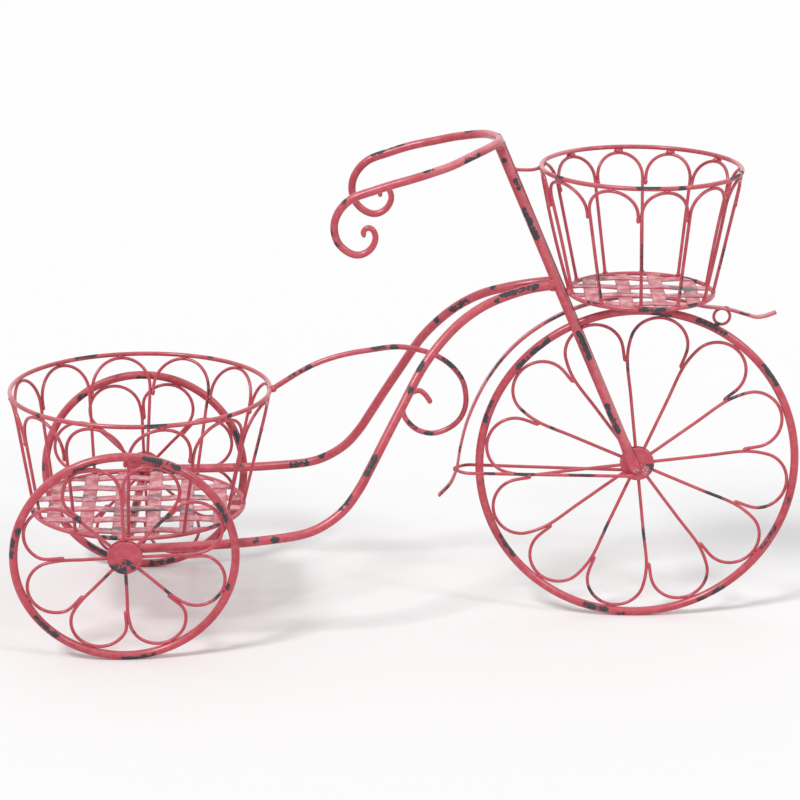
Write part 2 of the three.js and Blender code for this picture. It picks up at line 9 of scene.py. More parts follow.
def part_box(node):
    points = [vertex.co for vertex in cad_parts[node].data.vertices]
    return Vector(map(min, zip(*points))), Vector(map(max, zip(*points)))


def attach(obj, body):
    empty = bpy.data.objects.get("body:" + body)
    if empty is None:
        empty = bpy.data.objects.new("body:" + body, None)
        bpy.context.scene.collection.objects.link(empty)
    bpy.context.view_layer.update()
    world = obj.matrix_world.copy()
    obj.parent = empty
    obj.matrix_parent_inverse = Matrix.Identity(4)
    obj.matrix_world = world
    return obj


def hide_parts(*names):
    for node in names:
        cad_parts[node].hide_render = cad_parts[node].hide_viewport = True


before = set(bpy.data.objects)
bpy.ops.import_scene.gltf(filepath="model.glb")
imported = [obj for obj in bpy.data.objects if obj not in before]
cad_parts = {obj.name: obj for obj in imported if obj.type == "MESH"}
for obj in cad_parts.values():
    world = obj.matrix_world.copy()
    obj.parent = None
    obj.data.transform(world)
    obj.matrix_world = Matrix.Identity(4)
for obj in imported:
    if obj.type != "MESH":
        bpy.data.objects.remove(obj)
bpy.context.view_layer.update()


# Camera: well back on the near side and a little above the planter, with a long lens, so that the
# wheels stay almost round and the baskets show their floors.
camera_place = Vector((-0.0618, -3.4012, 1.2946))
camera_turn = radians(-0.92)
camera_tilt = radians(16.66)
camera_roll = radians(-0.51)
lens = 133.56
farthest_seen = 50

ahead = Vector((-sin(camera_turn) * cos(camera_tilt), cos(camera_turn) * cos(camera_tilt),
                -sin(camera_tilt)))
level_right = ahead.cross(Vector((0, 0, 1))).normalized()
level_down = ahead.cross(level_right)
right = level_right * cos(camera_roll) + level_down * sin(camera_roll)
down = level_down * cos(camera_roll) - level_right * sin(camera_roll)
camera = bpy.data.objects.new("camera", bpy.data.cameras.new("camera"))
camera.data.lens = lens
camera.data.clip_end = farthest_seen
camera_axes = Matrix((right, -down, -ahead)).transposed().to_4x4()
camera.matrix_world = Matrix.Translation(camera_place) @ camera_axes
bpy.context.scene.collection.objects.link(camera)
bpy.context.scene.camera = camera


# Wheel rims: each is one length of round steel tube rolled into a hoop and welded shut. They are dipped
# in the same red paint as the rest, which is rubbed through to the dark steel in long patches.
rim_tube = 0.010
near_wheel_lean = radians(7.1)
near_wheel_toe = radians(4)
rim_stations = 480
rim_patch_step = 0.003
rim_patch_ends = 0.005
rim_patch_reach = 0.0064
rim_patch_outward = (0.0032, -0.0010, -0.0034, 0.0016)
chip_fineness = 260
chip_level = 0.75
chip_edge = 0.012
worn_line = 0.025
wear_pull = 0.255
amount_pull = 0.2
coarse_fineness = 0.4
coarse_share = 0.4
patch_overlap = 3
blotch_scale = 14
blotch_levels = (0.62, 0.30)
blotch_share = 0.55
thin_scale = 130
thin_levels = (0.42, 0.72)
thin_share = 0.35
# Painted highlight: the paint is paler on faces that point up, and the marked pale streaks show most
# there.
top_highlight_levels = (0.1, 1.0)
top_highlight_share = 0.5
side_facing_pale_share = 0.35
primer_share = 0.6
speck_scale = 640
speck_levels = (0.50, 0.56)
grain_scale = 420
paint_dullness = 0.19
grain_dullness = 0.12
grain_relief = 0.14
chip_dullness = 0.32
chip_metal = 0.2
paint_relief = {"strength": 0.6, "depth": 0.0003}
red_deep = (0.31, 0.020, 0.032, 1)
red_paint = (0.465, 0.053, 0.079, 1)
red_pale_and_highlight = (0.66, 0.22, 0.25, 1)
bare_steel = (0.034, 0.040, 0.049, 1)
ground_weld = (0.60, 0.56, 0.49, 1)
primer = (0.26, 0.075, 0.085, 1)


def shader_group(name, inputs, outputs):
    tree = bpy.data.node_groups.new(name, "ShaderNodeTree")
    for label in inputs:
        tree.interface.new_socket(label, in_out="INPUT", socket_type="NodeSocketFloat")
    for label, kind in outputs.items():
        tree.interface.new_socket(label, in_out="OUTPUT", socket_type=kind)
    return tree, tree.nodes.new("NodeGroupInput").outputs, tree.nodes.new("NodeGroupOutput").inputs


def noise_texture(tree, scale, detail, roughness=0.5, distortion=0.0, place=None):
    texture = tree.nodes.new("ShaderNodeTexNoise")
    place = place or tree.nodes.new("ShaderNodeTexCoord").outputs["Object"]
    tree.links.new(place, texture.inputs["Vector"])
    texture.inputs["Detail"].default_value = detail
    texture.inputs["Roughness"].default_value = roughness
    texture.inputs["Distortion"].default_value = distortion
    connect(tree, scale, texture.inputs["Scale"])
    return texture.outputs["Fac"]


def connect(tree, source, socket):
    if isinstance(source, bpy.types.NodeSocket):
        tree.links.new(source, socket)
    else:
        socket.default_value = source


def compute(tree, operation, first, second, clamp=False):
    node = tree.nodes.new("ShaderNodeMath")
    node.operation = operation
    node.use_clamp = clamp
    connect(tree, first, node.inputs[0])
    connect(tree, second, node.inputs[1])
    return node.outputs[0]


def times(tree, first, second):
    return compute(tree, "MULTIPLY", first, second)


def plus(tree, first, second, clamp=False):
    return compute(tree, "ADD", first, second, clamp)


def minus(tree, first, second, clamp=False):
    return compute(tree, "SUBTRACT", first, second, clamp)


def ramp(tree, value, start, end):
    node = tree.nodes.new("ShaderNodeMapRange")
    node.interpolation_type = "SMOOTHSTEP"
    connect(tree, value, node.inputs["Value"])
    connect(tree, start, node.inputs["From Min"])
    connect(tree, end, node.inputs["From Max"])
    return node.outputs["Result"]


def blend_colours(tree, share, first, second):
    node = tree.nodes.new("ShaderNodeMix")
    node.data_type = "RGBA"
    connect(tree, share, node.inputs["Factor"])
    connect(tree, first, node.inputs["A"])
    connect(tree, second, node.inputs["B"])
    return node.outputs["Result"]


def attribute(tree, name):
    node = tree.nodes.new("ShaderNodeAttribute")
    node.attribute_name = name
    return node.outputs["Fac"]


def build_chipped_paint():
    """Chips: where the paint is gone. Edges: the thin worn line round each chip."""
    tree, given, wanted = shader_group("chipped_paint", ("Fineness", "Amount"), {
        "Chips": "NodeSocketFloat", "Edges": "NodeSocketFloat"})
    coarse = noise_texture(tree, times(tree, given["Fineness"], coarse_fineness), detail=2.0)
    fine = noise_texture(tree, given["Fineness"], detail=7.0, roughness=0.74, distortion=0.6)
    coarse, fine = times(tree, coarse, coarse_share), times(tree, fine, 1 - coarse_share)
    pull = times(tree, attribute(tree, "wear"), wear_pull)
    worn = plus(tree, plus(tree, coarse, fine), pull)
    level = minus(tree, chip_level, times(tree, given["Amount"], amount_pull))
    chips = ramp(tree, worn, level, plus(tree, level, chip_edge))
    near = ramp(tree, worn, minus(tree, level, worn_line), level)
    tree.links.new(chips, wanted["Chips"])
    tree.links.new(minus(tree, near, chips, clamp=True), wanted["Edges"])
    return tree


def build_fading_and_highlight_paint():
    """The paint's colour, deeper in broad blotches and paler where it is worn thin, with a painted
    highlight that pales faces pointing up and the marked streaks.
    """
    tree, given, wanted = shader_group("fading_and_highlight_paint", ("Fading",), {"Color": "NodeSocketColor"})
    broad = noise_texture(tree, blotch_scale, detail=3.0)
    close = noise_texture(tree, thin_scale, detail=4.0, roughness=0.6)
    facing = tree.nodes.new("ShaderNodeNewGeometry")
    split = tree.nodes.new("ShaderNodeSeparateXYZ")
    tree.links.new(facing.outputs["Normal"], split.inputs[0])
    # Painted highlight: paler where the surface faces up.
    top_highlight = ramp(tree, split.outputs["Z"], *top_highlight_levels)
    deep = times(tree, ramp(tree, broad, *blotch_levels), blotch_share)
    colour = blend_colours(tree, deep, red_paint, red_deep)
    thin = times(tree, ramp(tree, close, *thin_levels), thin_share)
    pale = times(tree, plus(tree, times(tree, top_highlight, top_highlight_share), thin), given["Fading"])
    # Marked pale streaks, partly painted highlight, are strongest where the surface faces up.
    top_light_weight = plus(tree, side_facing_pale_share, times(tree, top_highlight, 1 - side_facing_pale_share))
    marked_pale_and_highlight = times(tree, top_light_weight, attribute(tree, "pale_and_highlight"))
    pale = plus(tree, pale, marked_pale_and_highlight, clamp=True)
    tree.links.new(blend_colours(tree, pale, colour, red_pale_and_highlight), wanted["Color"])
    return tree


chipped_paint = build_chipped_paint()
fading_and_highlight_paint = build_fading_and_highlight_paint()


def place_group(tree, group, **values):
    node = tree.nodes.new("ShaderNodeGroup")
    node.node_tree = group
    for label, value in values.items():
        node.inputs[label].default_value = value
    return node.outputs


def new_material(name):
    material = bpy.data.materials.new(name)
    material.use_nodes = True
    return material, material.node_tree, material.node_tree.nodes["Principled BSDF"].inputs


def add_relief(tree, steel, height, strength, depth):
    bump = tree.nodes.new("ShaderNodeBump")
    bump.inputs["Strength"].default_value = strength
    bump.inputs["Distance"].default_value = depth
    tree.links.new(height, bump.inputs["Height"])
    tree.links.new(bump.outputs["Normal"], steel["Normal"])


def painted_steel(name, chips, fineness, thinning_and_highlight):
    material, tree, steel = new_material(name)
    wear = place_group(tree, chipped_paint, Amount=chips, Fineness=fineness)
    # The paint colour carries a painted highlight: paler on faces that point up.
    colour = place_group(tree, fading_and_highlight_paint, Fading=thinning_and_highlight)["Color"]
    colour = blend_colours(tree, times(tree, wear["Edges"], primer_share), colour, primer)
    colour = blend_colours(tree, wear["Chips"], colour, bare_steel)
    specks = ramp(tree, noise_texture(tree, speck_scale, detail=2.0), *speck_levels)
    specks = times(tree, specks, attribute(tree, "ground"))
    tree.links.new(blend_colours(tree, specks, colour, ground_weld), steel["Base Color"])
    grain = noise_texture(tree, grain_scale, detail=3.0)
    dullness = plus(tree, paint_dullness, times(tree, grain, grain_dullness))
    chipped = times(tree, wear["Chips"], chip_dullness)
    tree.links.new(plus(tree, dullness, chipped), steel["Roughness"])
    tree.links.new(times(tree, wear["Chips"], chip_metal), steel["Metallic"])
    relief = minus(tree, times(tree, grain, grain_relief), wear["Chips"])
    add_relief(tree, steel, relief, **paint_relief)
    return material


tube_paint = painted_steel("tube_paint", chips=0.34, fineness=chip_fineness, thinning_and_highlight=0.62)
end_rings = [radians(angle) for angle in (12, 32, 52, 72)]
end_length_share = 0.8


def round_ends(points, radius):
    """Adds the closing stations of a rounded end, each with its share of the wire's thickness."""
    stations = []
    for tip, inner in ((points[0], points[1]), (points[-1], points[-2])):
        inward = (inner - tip).normalized()
        stations.append([(tip + inward * radius * (1 - cos(ring)), sin(ring)) for ring in end_rings])
    cleared = radius * end_length_share
    middle = [(point, 1.0) for point in points
              if min((point - points[0]).length, (point - points[-1]).length) > cleared]
    return stations[0] + middle + stations[1][::-1]


def bent_wires(runs, diameter, closed=False, roundness=8):
    """One mesh of round bars, each along its own list of points."""
    curve = bpy.data.curves.new("bar", "CURVE")
    curve.dimensions = "3D"
    curve.bevel_depth = diameter / 2
    curve.bevel_resolution = roundness
    curve.use_fill_caps = True
    for points in runs:
        stations = [(point, 1.0) for point in points] if closed else round_ends(points, diameter / 2)
        spline = curve.splines.new("POLY")
        spline.points.add(len(stations) - 1)
        for target, (point, share) in zip(spline.points, stations):
            target.co = (*point, 1.0)
            target.radius = share
        spline.use_cyclic_u = closed
    drawn = bpy.data.objects.new("bar", curve)
    mesh = bpy.data.meshes.new_from_object(drawn)
    bpy.data.objects.remove(drawn)
    bpy.data.curves.remove(curve)
    return mesh


mark_strength = 1.5


def mark(mesh, name, spots, strength=mark_strength):
    """Paints an attribute that is strongest at each spot's middle and falls to 0 at its reach."""
    places = numpy.empty(len(mesh.vertices) * 3)
    mesh.vertices.foreach_get("co", places)
    places = places.reshape(-1, 3)
    values = numpy.zeros(len(places))
    for middle, reach in spots:
        distances = numpy.linalg.norm(places - numpy.array(middle), axis=1)
        values = numpy.maximum(values, strength * (1 - distances / reach))
    mesh.attributes.new(name, "FLOAT", "POINT").data.foreach_set("value", numpy.clip(values, 0, 1))


def mark_along(mesh, name, points, runs, strength=mark_strength, closed=False):
    """Marks a bar by runs of patches, each with the sides that they lie on by turns and their reach.
    A patch is a share of the bar and a length."""
    spacing = (points[1] - points[0]).length
    last = len(points) - 1
    spots = []
    for patches, sides, reach in runs:
        stride = max(round(reach / patch_overlap / spacing), 1)
        for index, (share, length) in enumerate(patches):
            side = Vector(sides[index % len(sides)])
            half = max(length / 2 - reach / 2, 0) / spacing
            for station in range(round(share * last - half), round(share * last + half) + 1, stride):
                point = points[station % (last + 1)] if closed else points[min(max(station, 0), last)]
                spots.append((point + side, reach))
    mark(mesh, name, spots, strength)


def turned_about(patches):
    """The same patches counted from the bar's other end, for the side that faces away."""
    return [(1 - share, length) for share, length in patches]


def finish(name, mesh, material, slot, *nodes):
    piece = bpy.data.objects.new(name, mesh)
    bpy.context.scene.collection.objects.link(piece)
    mesh.materials.clear()
    mesh.materials.append(material)
    mesh.shade_smooth()
    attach(piece, "root")
    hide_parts(*nodes)


def box_middle(node):
    low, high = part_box(node)
    return (low + high) / 2


front_hub = box_middle("front_wheel_rim")
front_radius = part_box("front_wheel_rim")[1].z - front_hub.z
middle_y = front_hub.y
near_centre = box_middle("near_rear_wheel_rim")
near_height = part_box("near_rear_wheel_rim")[1].z - near_centre.z
near_radius = (near_height - rim_tube / 2) / cos(near_wheel_lean) + rim_tube / 2
far_centre = box_middle("far_rear_wheel_rim")
far_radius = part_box("far_rear_wheel_rim")[1].z - far_centre.z
wheels = {
    "front_wheel": (Matrix.Translation(front_hub), front_radius),
    "near_rear_wheel": (
        Matrix.Translation(near_centre) @ Matrix.Rotation(near_wheel_toe, 4, "Z")
        @ Matrix.Rotation(near_wheel_lean, 4, "X"), near_radius),
    "far_rear_wheel": (Matrix.Translation(far_centre), far_radius),
}
rim_patches = {
    "front_wheel": [(160, 0.030), (133, 0.052), (83, 0.024), (64, 0.040), (36, 0.034), (-14, 0.009),
                    (-30, 0.038), (-60, 0.036), (-94, 0.010), (-104, 0.030), (-146, 0.036)],
    "near_rear_wheel": [(173, 0.024), (163, 0.010), (111, 0.030), (75, 0.024), (64, 0.017), (27, 0.029),
                        (-18, 0.008), (-79, 0.015), (-88, 0.022), (-137, 0.040)],
    "far_rear_wheel": [(178, 0.010), (128, 0.012), (90, 0.014), (20, 0.022), (-42, 0.014), (-80, 0.034),
                       (-120, 0.036)],
}


def full_turn(steps):
    return [2 * pi * step / steps for step in range(steps)]


def on_wheel(label, turn, reach, aside=0.0):
    return wheels[label][0] @ Vector((reach * cos(turn), aside, reach * sin(turn)))


def make_rim(label):
    reach = wheels[label][1] - rim_tube / 2
    points = [on_wheel(label, turn, reach) for turn in full_turn(rim_stations)]
    mesh = bent_wires([points], rim_tube, closed=True)
    spots = []
    for index, (angle, length) in enumerate(rim_patches[label]):
        outward = rim_patch_outward[index % len(rim_patch_outward)]
        steps = max(round(length / rim_patch_step), 2)
        for step in range(steps):
            turn = radians(angle) + (length - rim_patch_ends) * (step / (steps - 1) - 0.5) / reach
            spots += [(on_wheel(label, turn, reach + outward, side * rim_tube / 2), rim_patch_reach)
                      for side in (-1, 1)]
    mark(mesh, "wear", spots)
    finish(f"{label}_rim_tube", mesh, tube_paint, "tube_paint", f"{label}_rim")


for label in wheels:
    make_rim(label)


# Petals: every wheel is filled with a flower of steel wire. Each petal is one wire, welded to the hub,
# bent into an arch under the rim, and tacked by its short end to the next petal's spoke.
petal_wire = 0.004
spoke_root = 0.014
petal_nub = 0.014
petal_bends = (0.62, 0.96)
petal_arch_steps = 8
petal_steps = 70
petal_nub_aside = 0.0034
petal_tack = (0.0030, 0.0024, 0.0034)
petal_tack_aside = 0.0012
petal_wear_strength = 1.15
crown_weld = (0.0034, 0.0022, 0.0026)
crown_weld_rise = 0.0016
steps_between = 12
least_length = 1e-6
weld_lumps = 0.22
weld_lump_scale = 1.7
weld_lump_shift = 900
rear_petals = {"count": 8, "first": radians(2), "rise": 0.0318, "width": 0.369, "hand": 1}
petals = {
    "front_wheel": {"count": 12, "first": radians(6.8), "rise": 0.0335, "width": 0.232, "hand": -1},
    "near_rear_wheel": rear_petals,
    "far_rear_wheel": rear_petals,
}
petal_wear = {
    "front_wheel": [(91, 0.161, 0.020), (96, 0.123, 0.014), (155, 0.153, 0.012), (156, 0.111, 0.012),
                    (-114, 0.094, 0.026), (-85, 0.092, 0.022), (-107, 0.174, 0.026), (-59, 0.171, 0.017),
                    (-24, 0.104, 0.030), (-20, 0.167, 0.018), (37, 0.141, 0.020), (70, 0.150, 0.010)],
    "near_rear_wheel": [(-39, 0.067, 0.013), (-25, 0.116, 0.018), (137, 0.073, 0.016),
                        (44, 0.062, 0.030), (-90, 0.030, 0.016), (-125, 0.031, 0.014),
                        (-81, 0.097, 0.013)],
    "far_rear_wheel": [(60, 0.070, 0.012), (-30, 0.090, 0.012), (-150, 0.075, 0.012)],
}
wire_chip_fineness = 442
wire_paint = painted_steel("wire_paint", chips=0.36, fineness=wire_chip_fineness, thinning_and_highlight=0.55)


def smooth_path(stations, steps):
    """An even run of points on a curve through the stations, tight where they are close together."""
    ends = [stations[0] * 2 - stations[1], *stations, stations[-1] * 2 - stations[-2]]
    dense = []
    for run in zip(ends, ends[1:], ends[2:], ends[3:]):
        knots = [0.0]
        for first, second in zip(run, run[1:]):
            knots.append(knots[-1] + sqrt(max((second - first).length, least_length)))
        for step in range(steps_between):
            at = knots[1] + (knots[2] - knots[1]) * step / steps_between
            places = run
            for early, late in ((knots, knots[1:]), (knots, knots[2:]), (knots[1:], knots[2:])):
                places = [one + (other - one) * ((at - start) / (end - start))
                          for one, other, start, end in zip(places, places[1:], early, late)]
            dense.append(places[0])
    dense.append(stations[-1])
    lengths = [0.0]
    for first, second in zip(dense, dense[1:]):
        lengths.append(lengths[-1] + (second - first).length)
    points = []
    reached = 0
    for step in range(steps + 1):
        wanted = lengths[-1] * step / steps
        while reached < len(lengths) - 2 and lengths[reached + 1] < wanted:
            reached += 1
        share = (wanted - lengths[reached]) / (lengths[reached + 1] - lengths[reached])
        points.append(dense[reached].lerp(dense[reached + 1], share))
    return points


def add_welds(mesh, drops):
    """Lumpy drops of weld metal, each given by its middle and its size along three axes."""
    model = bmesh.new()
    model.from_mesh(mesh)
    for middle, size in drops:
        drop = bmesh.ops.create_icosphere(model, subdivisions=2, radius=1.0)["verts"]
        for vertex in drop:
            place = vertex.co * weld_lump_scale + middle * weld_lump_shift
            lump = 1 + weld_lumps * noise.noise(place)
            vertex.co = middle + Vector(share * axis * lump for share, axis in zip(vertex.co, size))
    model.to_mesh(mesh)
    model.free()


def make_petals(label):
    shape = petals[label]
    wheel, wheel_radius = wheels[label]
    half = pi / shape["count"]
    crown = wheel_radius - rim_tube - petal_wire / 2
    spring = crown - shape["rise"]
    half_width = spring * shape["width"]
    meet = spring - half_width / 2
    outline = [(-spoke_root * sin(half), spoke_root * cos(half))]
    outline += [(-meet * tan(half) * share, meet * share) for share in petal_bends]
    for step in range(petal_arch_steps + 1):
        turn = pi * step / petal_arch_steps
        outline.append((-half_width * cos(turn), spring + (crown - spring) * sin(turn)))
    nub = meet - petal_nub / 2
    outline.append((nub * tan(half) - petal_nub_aside, nub))
    runs, drops = [], []
    for count in range(shape["count"]):
        middle = shape["first"] + shape["hand"] * (count + 0.5) * 2 * half
        across = Vector((-sin(middle), 0, cos(middle))) * shape["hand"]
        outward = Vector((cos(middle), 0, sin(middle)))
        runs.append(smooth_path([wheel @ (across * x + outward * y) for x, y in outline], petal_steps))
        joint = across * (nub * tan(half) - petal_tack_aside) + outward * (nub + petal_tack_aside)
        drops.append((wheel @ joint, petal_tack))
        drops.append((wheel @ (outward * (crown + crown_weld_rise)), crown_weld))
    mesh = bent_wires(runs, petal_wire, roundness=5)
    add_welds(mesh, drops)
    mark(mesh, "wear", [(on_wheel(label, radians(angle), reach), size)
                        for angle, reach, size in petal_wear[label]], petal_wear_strength)
    finish(f"{label}_petal_wires", mesh, wire_paint, "wire_paint", f"{label}_petals")


for label in petals:
    make_petals(label)


# Hub plates: two pressed steel discs clamp the roots of the petals in each wheel. Their faces are
# slightly dished and the paint is knocked off round their edges.
hub_radius = 0.0205
hub_plate = 0.0025
hub_bevel = 0.001
hub_profile = [(0, -1), (1 - hub_bevel / hub_radius, -1), (1, -0.35), (1, 0.35),
               (1 - hub_bevel / hub_radius, 1), (0.86, 0.92), (0.5, 0.75), (0, 0.7)]
hub_segments = 64
hub_sharp = radians(50)
hub_wear = {
    "front_wheel": [(0.016, -0.0025, 0.009), (0.0115, -0.008, 0.0075), (0.008, -0.013, 0.006)],
    "near_rear_wheel": [(-0.003, -0.014, 0.013), (0.009, -0.011, 0.011), (-0.012, -0.010, 0.010),
                        (0.001, -0.004, 0.009), (-0.005, 0.002, 0.005)],
    "far_rear_wheel": [(0.010, -0.012, 0.010), (-0.012, 0.010, 0.007)],
}
hub_ground = {"front_wheel": [(0.010, -0.008, 0.007)]}


def mesh_from(model, name):
    mesh = bpy.data.meshes.new(name)
    model.to_mesh(mesh)
    model.free()
    return mesh


def make_hub_plate(label, side_name, side):
    low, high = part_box(f"{label}_{side_name}_hub_plate")
    centre = (low + high) / 2
    turn = wheels[label][0].to_3x3().to_4x4()
    model = bmesh.new()
    points = [model.verts.new((share * hub_radius, side * depth * hub_plate / 2, 0))
              for share, depth in hub_profile]
    edges = [model.edges.new(pair) for pair in zip(points, points[1:])]
    bmesh.ops.spin(model, geom=points + edges, cent=(0, 0, 0), axis=(0, 1, 0), angle=2 * pi,
                   steps=hub_segments, use_merge=True)
    bmesh.ops.remove_doubles(model, verts=model.verts, dist=1e-6)
    bmesh.ops.recalc_face_normals(model, faces=model.faces)
    bmesh.ops.transform(model, matrix=Matrix.Translation(centre) @ turn, verts=model.verts)
    mesh = mesh_from(model, "plate")
    for mask, places in (("wear", hub_wear[label]), ("ground", hub_ground.get(label, []))):
        mark(mesh, mask, [(centre + turn @ Vector((across, 0, up)), reach)
                          for across, up, reach in places])
    name = f"{label}_{side_name}_hub"
    finish(name, mesh, tube_paint, "tube_paint", f"{name}_plate")
    mesh.set_sharp_from_angle(angle=hub_sharp)


for label in wheels:
    make_hub_plate(label, "near", -1)
    make_hub_plate(label, "far", 1)


# Cross axle: a steel tube from hub to hub of the rear wheels, with a collar of weld at each end. It
# carries the side rails and the rear basket.
axle_tube = 0.011
axle_steps = 200
axle_wear_steps = 90
axle_near_gap = 0.0008
axle_far_gap = 0.0003
axle_wear = [([(0.12, 0.03), (0.34, 0.04), (0.5, 0.03), (0.66, 0.05), (0.9, 0.03)],
              [(0, 0, axle_tube / 2), (-axle_tube / 2, 0, 0)], 0.006)]
collar_wire = 0.0034
collar_inset = 0.001
collar_shake = 0.0011
collar_lump_scale = 4
collar_lump_shift = 500
collar_start = Vector((0.3, 0.2, 1))
collar_steps = 40
axle_low, axle_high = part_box("cross_axle")
axle = (axle_low + axle_high) / 2


def weld_collar(middle, along, radius):
    """A lumpy ring of weld round a tube: the run of points that its bead follows."""
    side = along.cross(collar_start).normalized()
    up = along.cross(side).normalized()
    points = []
    for turn in full_turn(collar_steps):
        way = side * cos(turn) + up * sin(turn)
        place = way * collar_lump_scale + middle * collar_lump_shift
        shake = noise.noise(place) * collar_shake
        points.append(middle + way * (radius + shake) + along * shake)
    return points


def join_meshes(meshes):
    model = bmesh.new()
    for mesh in meshes:
        model.from_mesh(mesh)
        bpy.data.meshes.remove(mesh)
    return mesh_from(model, "joined")


def straight(start, end, steps):
    return [start.lerp(end, step / steps) for step in range(steps + 1)]


near_end = Vector((axle.x, axle_low.y + axle_near_gap, axle.z))
far_end = Vector((axle.x, axle_high.y - axle_far_gap, axle.z))
along_axle = Vector((0, 1, 0))
collars = [weld_collar(near_end + along_axle * collar_inset, along_axle, axle_tube / 2),
           weld_collar(far_end - along_axle * collar_inset, along_axle, axle_tube / 2)]
axle_bar = join_meshes([bent_wires([straight(near_end, far_end, axle_steps)], axle_tube),
                        bent_wires(collars, collar_wire, closed=True, roundness=3)])
mark_along(axle_bar, "wear", straight(near_end, far_end, axle_wear_steps), axle_wear)
finish("axle_tube", axle_bar, tube_paint, "tube_paint", "cross_axle")


# Fork legs: two straight tubes raked back from the front hub to the handlebar. Each lower end is pressed
# flat, rounded off and welded on the hub plate.
leg_tube = 0.0115
fork_rake = radians(23.4)
fork_setback = 0.005
far_leg_lead = 0.0021
leg_end_thickness = 0.005
leg_end_width_share = 1.25
leg_end_length = 0.042
leg_press_share = 2 / 3
leg_end_drop = 0.010
leg_steps = 240
leg_welds = [((-0.0105, 0.0006, -0.002), (0.003, 0.0016, 0.006)),
             ((0.0042, 0.0004, -0.003), (0.0036, 0.0012, 0.0036))]
leg_ground = [((0.004, -0.001), 0.009), ((-0.002, 0.003), 0.006)]
# Painted highlight: a long pale streak down the side of each leg.
leg_highlight_patches = [(0.53, 0.39)]
leg_highlight_forward = 0.0052
leg_highlight_aside_share = 0.8
leg_highlight_reach = 0.0068
leg_patches_forward = (-0.0020, 0.0022)
leg_patch_reach = 0.0070
gap = 0.0003
bar_tube = 0.010
bar_head_rise = 0.0322
front_rim = box_middle("front_basket_rim")
front_floor = box_middle("front_basket_floor_ring")
bar_head = front_rim.z + bar_head_rise
fork_top = bar_head - bar_tube / 4


def leg_point(side, height):
    rise = (height - front_hub.z) / (fork_top - front_hub.z)
    lead = far_leg_lead * rise if side > 0 else 0
    closing = max(height - front_floor.z, 0) / (fork_top - front_floor.z)
    apart = (rim_tube / 2 + gap + leg_tube / 2) * (1 - closing) + (leg_tube / 2 + gap / 2) * closing
    return Vector((front_hub.x - fork_setback - (height - front_hub.z) * tan(fork_rake) + lead,
                   middle_y + side * apart, height))


def make_leg(name, side, patches):
    foot = front_hub.z - leg_end_drop
    press = foot + leg_end_length
    points = [leg_point(side, foot + (fork_top - foot) * step / leg_steps)
              for step in range(leg_steps + 1)]
    mesh = bent_wires([points], leg_tube)
    inner = middle_y + side * (rim_tube / 2 + gap)
    along = Vector((-sin(fork_rake), 0, cos(fork_rake)))
    axis = leg_point(side, foot)
    for vertex in mesh.vertices:
        share = min(max((press - vertex.co.z) / (leg_end_length * leg_press_share), 0), 1)
        pressed = share * share * (3 - 2 * share)
        away = Vector((vertex.co.x - axis.x, 0, vertex.co.z - axis.z))
        run = along * away.dot(along)
        spread = (away - run) * (1 + (leg_end_width_share - 1) * pressed)
        depth = (vertex.co.y - inner) * (1 - pressed + pressed * leg_end_thickness / leg_tube)
        vertex.co = Vector((axis.x + run.x + spread.x, inner + depth, axis.z + run.z + spread.z))
    hub_face = front_hub + Vector((0, side * (petal_wire / 2 + gap + hub_plate), 0))
    add_welds(mesh, [(hub_face + Vector((forward, side * out, up)), size)
                     for (forward, out, up), size in leg_welds])
    mark(mesh, "ground", [(points[0] + Vector((forward, side * leg_end_thickness / 2, up)), reach)
                          for (forward, up), reach in leg_ground])
    # The pale streak down one side of each leg is a painted highlight.
    face = side * leg_tube / 2
    highlight_side = (leg_highlight_forward, face * leg_highlight_aside_share, 0)
    mark_along(mesh, "pale_and_highlight", points, [(leg_highlight_patches, [highlight_side], leg_highlight_reach)])
    sides = [(forward, face, 0) for forward in leg_patches_forward]
    mark_along(mesh, "wear", points, [(patches, sides, leg_patch_reach)])
    finish(f"{name}_tube", mesh, tube_paint, "tube_paint", name)


make_leg("near_fork_leg", -1, [(0.950, 0.008), (0.881, 0.015), (0.760, 0.048), (0.402, 0.038),
                               (0.176, 0.040)])
make_leg("far_fork_leg", 1, [(0.88, 0.020), (0.66, 0.034), (0.5, 0.018), (0.31, 0.034), (0.08, 0.016)])


# Handlebar: one tube bent round over the tops of the legs, swept out and down on both sides, and drawn
# thinner where each grip ends in a tight curl.
bar_reach = 0.1515
bar_spread = 0.086
bar_fall = 0.0905
curl_radius = 0.0275
near_curl_back = 0.1635
far_curl_back = 0.1435
far_curl_rise = 0.009
bar_steps = 420
curl_steps = 96
curl_share = 0.84
tip_steps = 34
tip_share = 0.6
bar_weld = (0.0052, 0.0048, 0.0042)
bar_weld_drop = 0.002
bar_weld_aside = 0.004
bar_arm = [
    (0, 0, 0), (0.012, 0.16, 0.002), (0.045, 0.32, 0.009), (0.104, 0.495, 0.027), (0.182, 0.629, 0.064),
    (0.261, 0.736, 0.106), (0.339, 0.841, 0.15), (0.418, 0.905, 0.194), (0.496, 0.94, 0.233),
    (0.575, 0.977, 0.271), (0.7, 1, 0.333), (0.82, 1, 0.392),
]
curl = [
    (0.58, 1.72), (-0.36, 1.35), (-0.87, 0.8), (-1.05, 0.18), (-0.88, -0.51), (-0.38, -0.95),
    (0.05, -1.02), (0.47, -0.78), (0.68, -0.33), (0.58, 0.04), (0.36, 0.15), (0.17, -0.03),
    (0.22, -0.27),
]
